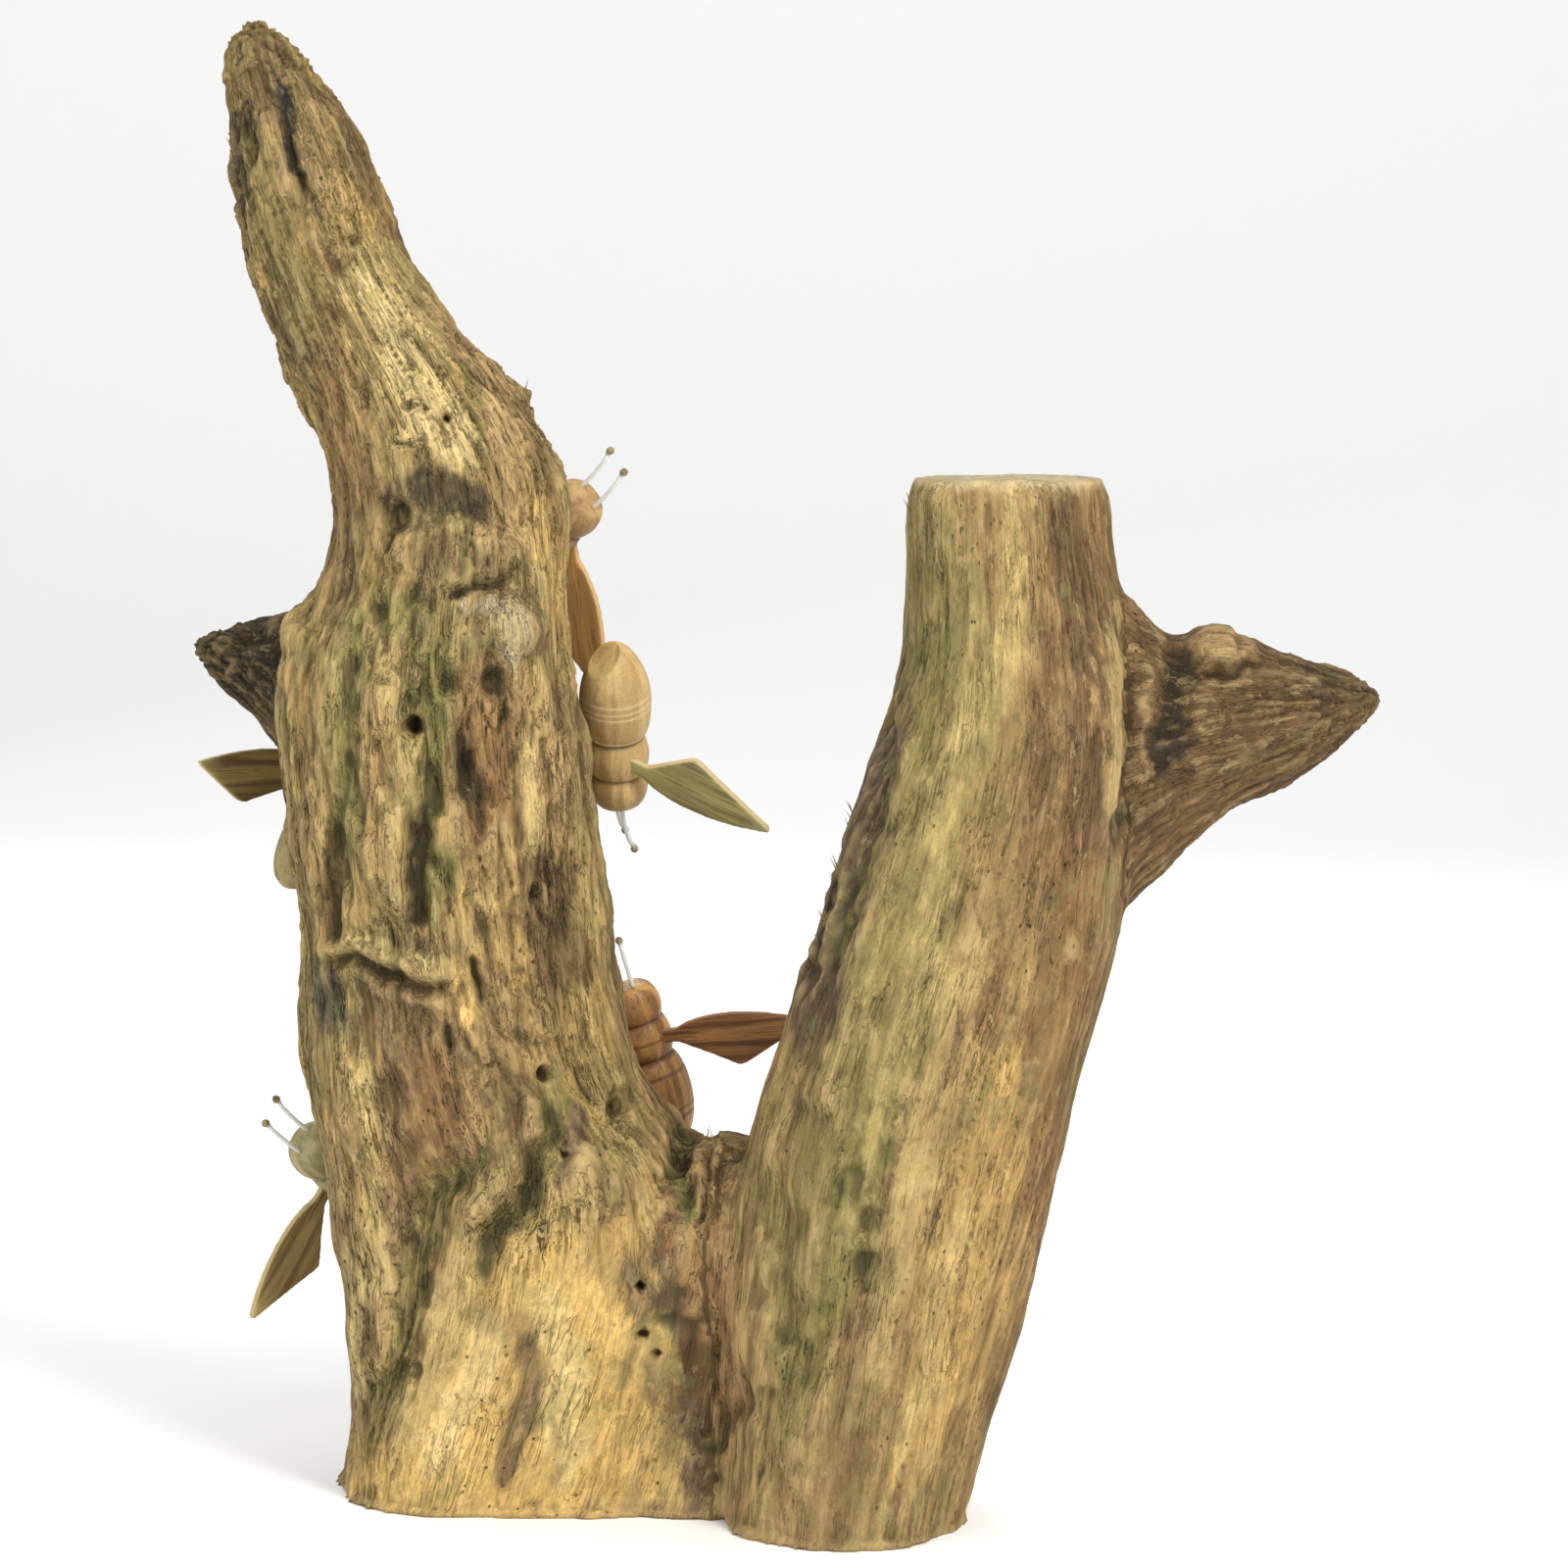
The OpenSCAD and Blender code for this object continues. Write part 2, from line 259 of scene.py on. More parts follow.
def averaged(values, edges, rounds, hold=None):
    """Each value, blended with its neighbours' mean that many times; hold is 1 where it stays."""
    values = np.asarray(values, float)
    rows = values.reshape(len(values), -1)
    count = np.bincount(edges.ravel(), minlength=len(rows)).clip(1)
    free = 1 if hold is None else (1 - hold)[:, None]
    for _ in range(rounds):
        total = np.empty_like(rows)
        for k in range(rows.shape[1]):
            total[:, k] = np.bincount(edges[:, 0], rows[edges[:, 1], k], len(rows))
            total[:, k] += np.bincount(edges[:, 1], rows[edges[:, 0], k], len(rows))
        rows = rows + 0.6 * free * (total / count[:, None] - rows)
    return rows.reshape(values.shape)


def plain_mesh(obj, name):
    """The object with its modifiers worked out, as a new plain object; the old one is removed."""
    ready = obj.evaluated_get(bpy.context.evaluated_depsgraph_get())
    mesh = bpy.data.meshes.new_from_object(ready)
    made = bpy.data.objects.new(name, mesh)
    scene.collection.objects.link(made)
    bpy.data.objects.remove(obj)
    mesh.name = name
    for face in mesh.polygons:
        face.use_smooth = True
    return made


def remeshed_copy(node, name, voxel):
    """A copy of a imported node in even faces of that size, in metres."""
    mesh = nodes[node].data.copy()
    mesh.materials.clear()
    shell = bmesh.new()
    shell.from_mesh(mesh)
    bmesh.ops.remove_doubles(shell, verts=shell.verts, dist=1e-6)
    shell.to_mesh(mesh)
    shell.free()
    copy = bpy.data.objects.new(name, mesh)
    scene.collection.objects.link(copy)
    grid = copy.modifiers.new("even faces", "REMESH")
    grid.mode = "VOXEL"
    grid.voxel_size = voxel
    return plain_mesh(copy, name)


# %% Remesh the log
LOG_VOXEL = 1.35 * MM
log = remeshed_copy("log", "weathered_log", LOG_VOXEL)
print("log points", len(log.data.vertices))

# %% Find the nest holes and the bees
openings = frame["record"]["physics"]["openings"]
nest_holes = [o["box_m"] for o in openings if "nest_hole" in o["name"]]
BEE_NAMES = sorted({n.split("_")[1] for n in nodes if n.startswith("bee_")})
print("nest holes", len(nest_holes), "bees", BEE_NAMES)


def in_nest_holes(points, margin):
    """1 where a point is in a nest hole or this close to its wall, in metres."""
    inside = np.zeros(len(points))
    for low, high in nest_holes:
        x, z = (low[0] + high[0]) / 2, (low[2] + high[2]) / 2
        radius = (high[0] - low[0]) / 2 * math.sqrt(2) * 1.04
        away = np.hypot(points[:, 0] - x, points[:, 2] - z) - radius
        deep = points[:, 1] > low[1] - 3 * MM
        inside = np.maximum(inside, deep * (1 - smoothstep(margin * 0.4, margin, away)))
    return inside


def distance_to_bees(points, reach):
    """How far each point is from the nearest bee, in metres, up to the reach."""
    verts, faces = [], []
    for name, node in nodes.items():
        if name.startswith("bee_") and not name.endswith("peg"):
            start = len(verts)
            verts.extend(v.co for v in node.data.vertices)
            faces.extend([start + i for i in f.vertices] for f in node.data.polygons)
    tree = BVHTree.FromPolygons(verts, faces)
    far = np.full(len(points), reach)
    for bee in BEE_NAMES:
        for part in ("body", "left_wing", "right_wing"):
            low, high = (np.array(c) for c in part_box(f"bee_{bee}_{part}"))
            near = np.all((points > low - reach) & (points < high + reach), axis=1)
            for i in np.flatnonzero(near & (far == reach)):
                hit = tree.find_nearest(points[i], reach)
                if hit[3] is not None:
                    far[i] = hit[3]
    return far


# %% Melt the facets
points = points_of(log)
edges = edges_of(log)
from_bees = distance_to_bees(points, 12 * MM)
held = np.maximum(in_nest_holes(points, 2 * MM), 1 - smoothstep(0.6 * MM, 2.5 * MM, from_bees))
held = np.maximum(held, 1 - smoothstep(0, 1.5 * MM, points[:, 2]))
sawn_top = smoothstep(338 * MM, 341 * MM, points[:, 2]) * (points[:, 0] > 0.03)
held = np.maximum(held, 0.9 * sawn_top)
points = averaged(points, edges, 45, hold=held)
move_points(log, points)
print("held points", int((held > 0.5).sum()))

# %% [markdown]
# ## Which way the grain runs
#
# Everything on old wood follows its grain: ridges, cracks, stains. So each point gets
# coordinates that are straight where the grain is straight: how far across the stem, how deep,
# and how far along. They are measured from the middle line of the limb that the point is on,
# in shares of the limb's width there, so that the grain fans out with the root.

# %% Middle lines of the limbs
# Each row: where along the limb, the middle across it, the middle in depth, half width, half depth
LEFT_RUN = np.array([
    (0, -40, -1, 69, 45), (60, -39, 0, 68, 46), (100, -42, 1, 68, 46), (145, -61, 2, 56, 46),
    (210, -69, 1, 52, 46), (275, -74, -1, 50, 46), (312, -71, 0, 43, 41), (350, -70, 3, 40, 35),
    (385, -87, 4, 34, 30), (425, -109, 4, 27, 26), (466, -121, 3, 21, 20), (500, -134, 3, 12, 12),
])
RIGHT_RUN = np.array([
    (0, 64, -38, 40, 50), (65, 75, -37, 46, 50), (130, 87, -34, 52, 50), (195, 105, -29, 51, 48),
    (262, 120, -23, 43, 43), (300, 120, -20, 36, 38), (347, 118, -18, 33, 33),
])
BRANCH_RUN = np.array([
    (118, 248, -19, 60, 36), (152, 251, -13, 54, 33), (180, 257, -5, 35, 26),
    (214, 264, 0, 23, 18), (246, 271, 2, 10, 10),
])
STUB_RUN = np.array([
    (-158, 288, 30, 8, 8), (-143, 281, 28, 13, 12), (-122, 272, 24, 27, 22), (-96, 270, 22, 30, 24),
])
LEFT, RIGHT, BRANCH, STUB = range(4)
RUNS = (LEFT_RUN, RIGHT_RUN, BRANCH_RUN, STUB_RUN)


def run_at(run, at):
    """The middle line's row at each place along it, softened where it bends."""
    fine = np.linspace(run[0, 0], run[-1, 0], 200)
    soft = []
    for column in run.T[1:]:
        line = np.interp(fine, run[:, 0], column)
        padded = np.concatenate([np.full(8, line[0]), line, np.full(8, line[-1])])
        soft.append(np.convolve(padded, np.ones(17) / 17, "valid"))
    return [np.interp(at, fine, column) for column in soft]


def drawn_mm(points):
    """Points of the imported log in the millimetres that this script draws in."""
    return points / STRETCH / MM


# %% Sort points by limb and straighten the grain
# The groove on the left stem's near side, where its outer rib meets the wood of the root
RIB_GROOVE = [(-56, 122), (-74, 105), (-79, 88), (-81, 72), (-85, 57), (-92, 37), (-98, 20)]
# How far the grain leans for each millimetre below the fork, right of that groove
GRAIN_SLANT, FORK_Z = 0.0042, 140
# Shares of a limb's width and depth in grain millimetres, and the step between limbs
GRAIN_WIDE, GRAIN_DEEP, LIMB_STEP = 46, 42, 300


def limb_of(p):
    """Which limb each drawn point is on."""
    wobble = 2.5 * noise(p / 18, 3)
    parting = 20 + wobble + 0.9 * np.clip(p[:, 2] - 105, 0, None) * 0.2
    limb = np.where(p[:, 0] > parting, RIGHT, LEFT)
    branch = (p[:, 0] > 158 + wobble) & (p[:, 2] > 185)
    stub = (p[:, 0] < -121 + wobble) & (p[:, 2] > 228) & (p[:, 2] < 322) & (p[:, 1] > 2)
    return np.where(branch, BRANCH, np.where(stub, STUB, limb))


def grain_of(p):
    """For each drawn point: limb, place across from -1 to 1, depth likewise, and grain in mm."""
    limb = limb_of(p)
    across, deep = np.zeros(len(p)), np.zeros(len(p))
    grain = np.zeros((len(p), 3))
    groove_x, groove_z = zip(*RIB_GROOVE[::-1])
    for which, run in enumerate(RUNS):
        on = limb == which
        along, over = (0, 2) if which in (BRANCH, STUB) else (2, 0)
        at = p[on, along]
        middle, depth, half, half_depth = run_at(run, at)
        a = (p[on, over] - middle) / half
        across[on] = a
        deep[on] = (p[on, 1] - depth) / half_depth
        if which == LEFT:
            groove = np.interp(p[on, 2], groove_z, groove_x)
            right_of = smoothstep(-3, 5, p[on, 0] - groove) * smoothstep(0.1, -0.3, deep[on])
            a = a + GRAIN_SLANT * np.clip(FORK_Z - p[on, 2], 0, None) * right_of
        grain[on] = np.stack([a * GRAIN_WIDE, deep[on] * GRAIN_DEEP, at + LIMB_STEP * which], axis=1)
    return limb, across, deep, grain


p = drawn_mm(points)
limb, across, deep, grain = grain_of(p)
print("points on each limb", np.bincount(limb))

# %% [markdown]
# ## Sculpting with strokes
#
# A carver works along lines: a crease here, a ridge there. So each feature is a stroke, a line
# of a few places on the near side with a width and a depth. The places are drawn millimetres
# across and up. Every stroke wanders a little with the noise, so that no edge is ruled.

# %% Stroke helper
near_side = smoothstep(-0.3, 0.12, -deep)
wander = np.stack([layered(p / 13, 11), layered(p / 13, 12)], axis=1) * 1.7
face_on = p[:, [0, 2]] + wander


def stroke(line, spots=None):
    """How far each point is from a line of places in drawn millimetres, and how far along it."""
    spots = face_on if spots is None else spots
    away, share = np.full(len(spots), 1e3), np.zeros(len(spots))
    line = np.array(line, float)
    lengths = np.linalg.norm(np.diff(line, axis=0), axis=1)
    done = 0
    for a, b, length in zip(line[:-1], line[1:], lengths):
        along = np.clip(((spots - a) @ (b - a)) / max(length**2, 1e-9), 0, 1)
        from_here = np.hypot(*(spots - a - along[:, None] * (b - a)).T)
        nearer = from_here < away
        away[nearer] = from_here[nearer]
        share[nearer] = (done + along[nearer] * length) / lengths.sum()
        done += length
    return away, share


def beside(line, spots=None):
    """Only how far each point is from the line."""
    return stroke(line, spots)[0]


def fading(share, ends):
    """Fades a stroke out over that share of its length at both ends."""
    return smoothstep(0, ends, share) * smoothstep(0, ends, 1 - share)


def oval(x, z, half_x, half_z, tilt=0, spots=None):
    """0 in the middle of a tilted oval, 1 on its rim and more outside."""
    spots = face_on if spots is None else spots
    turn = math.radians(tilt)
    dx, dz = spots[:, 0] - x, spots[:, 1] - z
    u = dx * math.cos(turn) + dz * math.sin(turn)
    v = dz * math.cos(turn) - dx * math.sin(turn)
    return np.hypot(u / half_x, v / half_z)


# %% The creases, ridges, hollows and holes
# Creases: the line, half width, depth
CREASES = {
    "rib groove": ([(-50, 128), *RIB_GROOVE], 6.0, 4.6),
    "lobe fold": ([(-31, 152), (-34, 130), (-43, 107), (-53, 97), (-57, 82), (-60, 66)], 5.0, 3.4),
    "lobe fold, upper": ([(-60, 182), (-50, 167), (-41, 160), (-30, 155)], 3.5, 2.6),
    "crotch groove": ([(9, 131), (10, 112), (8, 96)], 3.4, 4.5),
    "web crack": ([(20, 124), (18, 108), (13, 96)], 1.3, 3.0),
    "web groove": ([(3, 88), (12, 60), (18, 38), (17, 20), (15, 0)], 8.0, 3.2),
    "web to right stem": ([(36, 132), (42, 108), (41, 86), (42, 60), (34, 30), (30, 0)], 6.0, 3.2),
    "bark ledge": ([(-116, 185), (-101, 189), (-88, 184), (-74, 179), (-62, 180)], 2.2, 3.0),
    "short crack": ([(-61, 192), (-58, 181), (-56, 171)], 1.5, 4.0),
    "dark slot": ([(-76, 240), (-77, 222), (-79, 195)], 3.2, 3.6),
    "dark slot, left": ([(-105, 240), (-104, 219), (-110, 198)], 3.4, 2.6),
    "green trough": ([(-98, 300), (-103, 270), (-101, 240), (-106, 208)], 6.0, 2.4),
    "middle trough": ([(-68, 296), (-73, 268), (-72, 238), (-74, 203)], 6.5, 2.4),
    "under the collar": ([(-68, 309), (-56, 312), (-44, 314)], 1.6, 2.4),
    "collar side": ([(-92, 312), (-88, 300), (-91, 285)], 3.5, 2.0),
    "slab edge": ([(-109, 426), (-103, 427), (-96, 427)], 1.3, 1.8),
    "step": ([(-84, 371), (-78, 372), (-73, 370)], 1.3, 1.6),
    "lower step": ([(-88, 360), (-80, 359), (-72, 363)], 1.3, 1.5),
    "patch crack": ([(-89, 344), (-87, 330), (-85, 318)], 1.4, 2.6),
    "edge crack": ([(-50, 383), (-42, 373), (-37, 361), (-33, 350)], 1.5, 2.6),
    "branch crease": ([(156, 304), (160, 270), (158, 240), (154, 212)], 3.0, 2.6),
    "branch plate": ([(184, 283), (192, 281), (200, 285), (207, 281)], 1.4, 2.4),
    "flank edge": ([(80, 296), (79, 250), (72, 224), (60, 188), (57, 160)], 3.2, 3.2),
    "flank split": ([(66, 238), (58, 205), (51, 172)], 1.6, 3.0),
    "green trough, right": ([(90, 183), (85, 158), (71, 127), (69, 99), (54, 65), (43, 36)], 9.0, 2.6),
    "cut mark": ([(-40, 216), (-39, 206), (-36, 198)], 1.5, 2.8),
    "horn notch": ([(-119, 484), (-113, 480), (-107, 478)], 2.6, 2.6),
    "slab's dark side": ([(-123, 474), (-120, 460), (-117, 446), (-116, 436)], 2.2, 2.6),
    "horn edge": ([(-137, 468), (-134, 458), (-138, 448), (-136, 436)], 2.4, 2.8),
    "branch fold": ([(176, 300), (178, 282), (172, 262), (168, 246)], 5.0, 2.2),
}
# Ridges: the line, half width, height
RIDGES = {
    "collar": ([(-88, 315), (-78, 327), (-65, 331), (-50, 326), (-42, 317)], 6.0, 3.4),
    "left of the hollow": ([(-65, 283), (-68, 262), (-66, 236), (-62, 222)], 4.4, 3.4),
    "outer rib": ([(-96, 290), (-92, 262), (-95, 238), (-92, 212), (-94, 192)], 5.2, 3.6),
    "inner rib": ([(-84, 292), (-86, 270), (-80, 250), (-86, 226), (-84, 200)], 5.0, 3.4),
    "right rib": ([(-38, 290), (-36, 262), (-41, 240), (-40, 222)], 3.6, 2.0),
    "lobe": ([(-37, 148), (-43, 132), (-53, 112), (-64, 98)], 8.0, 3.8),
    "root rib": ([(-100, 160), (-98, 120), (-96, 80)], 7.0, 2.4),
    "root toe": ([(-26, 128), (-32, 100), (-44, 70), (-60, 30)], 14.0, 2.6),
    "flank ridge": ([(86, 300), (86, 250), (78, 222), (66, 186), (63, 160), (58, 120), (50, 70)], 5.0, 2.2),
    "branch ridge": ([(152, 304), (154, 270), (152, 236)], 3.4, 2.2),
    "bark lip": ([(-114, 189), (-100, 194), (-86, 189), (-72, 186)], 3.0, 2.6),
    "plate on the horn": ([(-113, 474), (-105, 466), (-98, 453), (-92, 436)], 4.0, 2.2),
    "horn knob": ([(-133, 492), (-130, 484)], 9.0, 1.6),
    "pale slab": ([(-117, 462), (-112, 446), (-103, 432)], 4.5, 1.7),
    "right stem rib": ([(112, 240), (104, 190), (96, 140), (84, 90), (72, 40)], 8.0, 1.8),
    "branch knuckle": ([(178, 298), (186, 293), (196, 290)], 6.0, 2.6),
}
# Hollows and bulges: middle across and up, half width, half height, tilt, depth (below 0 it bulges)
HOLLOWS = {
    "brown hollow": (-53, 258, 14, 32, 0, 5.0),
    "hollow's eye": (-63, 249, 5, 10, -12, 4.5),
    "hollow's top eye": (-52, 280, 4, 7, 0, 3.5),
    "below the slab": (-103, 420, 8, 7, 0, 1.4),
    "dark patch": (-70, 341, 17, 11, 0, 1.3),
    "blue patch": (-107, 176, 9, 10, 0, 1.8),
    "collar's belly": (-64, 319, 20, 9, 0, -3.2),
    "pale knot": (-47, 299, 12, 11, 0, -2.8),
    "crotch pocket": (-11, 137, 6, 6, 0, 3.0),
    "long knot": (-5, 77, 5.5, 14, 15, -1.6),
    "branch plate": (194, 290, 14, 8, -10, -2.6),
    "small slot": (-68, 162, 2.4, 7, 0, 2.6),
    "stub knob": (-125, 297, 9, 9, 0, -3.6),
    "stub dip": (-140, 294, 7, 6, 0, 3.4),
    "stub tip": (-150, 283, 9, 12, 0, -3.2),
    "crotch swelling": (-16, 116, 16, 14, 0, -2.4),
    "right knot": (139, 197, 5, 7, 10, -1.5),
    "flank knot": (56, 150, 10, 9, 0, -2.0),
}
# Bored and rotted holes: middle across and up, half width, half height, tilt, depth
HOLES = {
    "deep hole": (-79, 266, 4.2, 4.6, 0, 9.0),
    "patch hole": (-84, 335, 4.0, 6.5, 0, 6.0),
    "fold mouth": (-35, 150, 3.0, 3.2, 40, 6.0),
    "pocket hole": (-11, 137, 2.6, 2.8, 0, 5.0),
    "knot hole": (-4, 79, 1.9, 1.9, 0, 6.0),
    "rot hole": (-3, 62, 2.8, 2.2, 20, 5.0),
    "rot hole, lower": (1, 56, 2.0, 1.6, 0, 4.0),
    "worm hole": (-68, 368, 1.9, 1.9, 0, 5.0),
    "worm hole, upper": (-82, 395, 1.9, 1.5, 30, 3.0),
    "worm hole, low": (-29, 123, 1.7, 1.7, 0, 4.0),
    "cut hole": (-40, 209, 1.8, 2.6, 0, 4.0),
}
print("creases", len(CREASES), "ridges", len(RIDGES), "hollows", len(HOLLOWS), "holes", len(HOLES))

# %% [markdown]
# ## Sculpting the whole log
#
# Under the named features lies the ordinary roughness of weathered wood: slow lumps, ridges
# that follow the grain, fine fibres and checks, which are the thin cracks of drying. The left
# stem is the most gnarled, the right one smoother. All of it pushes points in or out along
# their normals.

# %% Ordinary roughness
ROUGH_OF_LIMB = np.array([1.0, 0.5, 0.6, 0.9])


def roughness_of(p, limb, edges):
    """How gnarled each point is: the left stem most, the right one and the root's face least."""
    rough = averaged(ROUGH_OF_LIMB[limb], edges, 12)
    right_of_groove = smoothstep(-84, -66, p[:, 0] - 0.25 * (p[:, 2] - 60))
    low_down = 1 - smoothstep(70, 115, p[:, 2])
    return rough * (1 - 0.6 * (limb == LEFT) * right_of_groove * low_down)


rough = roughness_of(p, limb, edges)
gnarled = (limb == LEFT) * smoothstep(175, 200, p[:, 2]) * (1 - smoothstep(295, 320, p[:, 2]))


def along_grain(across_mm, along_mm):
    """Grain coordinates in steps of that many millimetres across and along."""
    return grain / np.array([across_mm, across_mm, along_mm])


def ridged(n):
    """Noise folded into sharp-topped ridges, from -1 to 1."""
    return 1 - 2.4 * np.abs(n)


lift = 2.2 * rough * layered(p / (24, 24, 38), 21, 3)
lift += 0.75 * rough * (1 + 0.7 * gnarled) * ridged(layered(along_grain(10, 50), 31, 3))
lift += 0.75 * rough * layered(along_grain(5, 22), 41, 3)
lift += 0.34 * rough * ridged(layered(along_grain(2.4, 18), 51, 2))
checks = np.abs(layered(along_grain(6.5, 60), 61, 2))
check_zone = smoothstep(0.05, 0.5, layered(along_grain(30, 60), 71, 2))
lift -= 1.5 * rough * check_zone * bell(checks, 0.05)
# Bark that flakes off in plates, on the left stem's outer edge and on its right shoulder
outer_edge = beside([(-136, 470), (-141, 440), (-128, 400), (-114, 370)])
shoulder = beside([(-48, 388), (-38, 366), (-32, 350)])
flaky = bell(outer_edge, 9)
flaky = np.maximum(flaky, 0.9 * bell(shoulder, 8))
flaky = np.maximum(flaky, 0.12 * (limb == BRANCH))
plates = layered(p / (5.5, 5.5, 8), 81, 3)
lift += 1.5 * flaky * (smoothstep(-0.1, 0.12, plates) - 0.6 + 0.3 * plates)
print("ordinary roughness", lift.min().round(2), lift.max().round(2), "mm")

# %% Named features
carved = np.zeros(len(p))
# No crease is an even trough: its width and depth come and go
fitful = 0.7 + 0.55 * smoothstep(-0.35, 0.4, layered(p / (15, 15, 15), 87, 2))
for line, width, depth in CREASES.values():
    away, share = stroke(line)
    away /= width * (0.6 + 0.45 * fitful)
    depth = 1.15 * depth * fitful * fading(share, 0.22)
    carved -= near_side * depth * (bell(away) - 0.22 * bell(away - 2.1))
for line, width, height in RIDGES.values():
    away, share = stroke(line)
    carved += near_side * height * fading(share, 0.15) * bell(away, width)
for x, z, half_x, half_z, tilt, depth in HOLLOWS.values():
    carved -= near_side * depth * (1 - smoothstep(0.35, 1.15, oval(x, z, half_x, half_z, tilt)))
exact = p[:, [0, 2]] + 0.25 * wander
for x, z, half_x, half_z, tilt, depth in HOLES.values():
    inside = 1 - smoothstep(0.45, 1.1, oval(x, z, half_x, half_z, tilt, exact))
    carved -= near_side * depth * inside
print("named features", carved.min().round(2), carved.max().round(2), "mm")

# %% Far side: a few knots and long checks where nothing is named
far_side = 1 - near_side
far_lumps = layered(p / (34, 34, 60), 91, 2)
carved += far_side * 2.0 * far_lumps * rough
far_checks = np.abs(noise(along_grain(16, 150), 95))
far_zone = smoothstep(0, 0.4, noise(along_grain(40, 120), 96))
carved -= far_side * 2.4 * rough * bell(far_checks, 0.035) * far_zone

# %% Push the points
# The foot up to here stays as sawn, and no other point sinks to the floor, in metres
SAWN_FOOT, FLOOR_GAP = 1.2 * MM, 0.3 * MM
lift += carved
still = np.maximum(in_nest_holes(points, 3 * MM), 1 - smoothstep(0.5, 5, p[:, 2]))
still = np.maximum(still, smoothstep(341, 345, p[:, 2]) * (limb == RIGHT) * 0.75)
lift *= 1 - still
# Wood that grows outwards stops short of the bees
room = np.clip((distance_to_bees(points, 12 * MM) / MM - 0.6) * 0.8, 0, 12)
lift = np.minimum(lift, room)
lift *= smoothstep(0, 1.5, room)
normals = normals_of(log)
sculpted = points + normals * lift[:, None] * MM
above = np.maximum(sculpted[:, 2], FLOOR_GAP)
sculpted[:, 2] = np.where(points[:, 2] < SAWN_FOOT, points[:, 2], above)
# The saw left a sharp rim round the foot, which the melting rounded: it is put back
upright = smoothstep(-0.1, 0.3, 0.35 - np.abs(normals[:, 2]))
foot_rim = (1 - smoothstep(0, 4, p[:, 2])) * upright
outwards_flat = normals * np.array([1, 1, 0])
sculpted += outwards_flat * (1.6 * foot_rim)[:, None] * MM
move_points(log, sculpted)
print("pushed", lift.min().round(2), "to", lift.max().round(2), "mm")

# %% Thin the mesh where it is flat
LOG_TRIANGLES = 192_000
fine = sum(len(f.vertices) - 2 for f in log.data.polygons)
if fine > LOG_TRIANGLES:
    thinner = log.modifiers.new("fewer faces", "DECIMATE")
    thinner.ratio = LOG_TRIANGLES / fine
    log = plain_mesh(log, "weathered_log")
print("log triangles", fine, "->", sum(len(f.vertices) - 2 for f in log.data.polygons))

# %% [markdown]
# ## Colouring the wood
#
# Wood outdoors isn't one colour. Fresh wood is honey and straw, old wood is tan, wet wood grows
# moss and rot turns it russet, umber and black. Each wash below is a line again, with a width
# and a strength, laid over the last one like thin paint. The result is stored on the mesh's
# points as an attribute, and the material adds the fine grain that points are too coarse for.

# %% Shades, as light reflected in red, green and blue
SHADES = {
    "tan": (0.285, 0.187, 0.074),
    "honey": (0.560, 0.365, 0.120),
    "straw": (0.470, 0.350, 0.135),
    "olive": (0.200, 0.165, 0.055),
    "moss": (0.135, 0.130, 0.036),
    "umber": (0.115, 0.066, 0.030),
    "russet": (0.190, 0.092, 0.036),
    "mauve": (0.085, 0.052, 0.036),
    "bone": (0.520, 0.430, 0.250),
    "char": (0.030, 0.023, 0.017),
    "slate": (0.036, 0.037, 0.033),
    "peach": (0.460, 0.300, 0.130),
    "cream": (0.680, 0.520, 0.230),
}
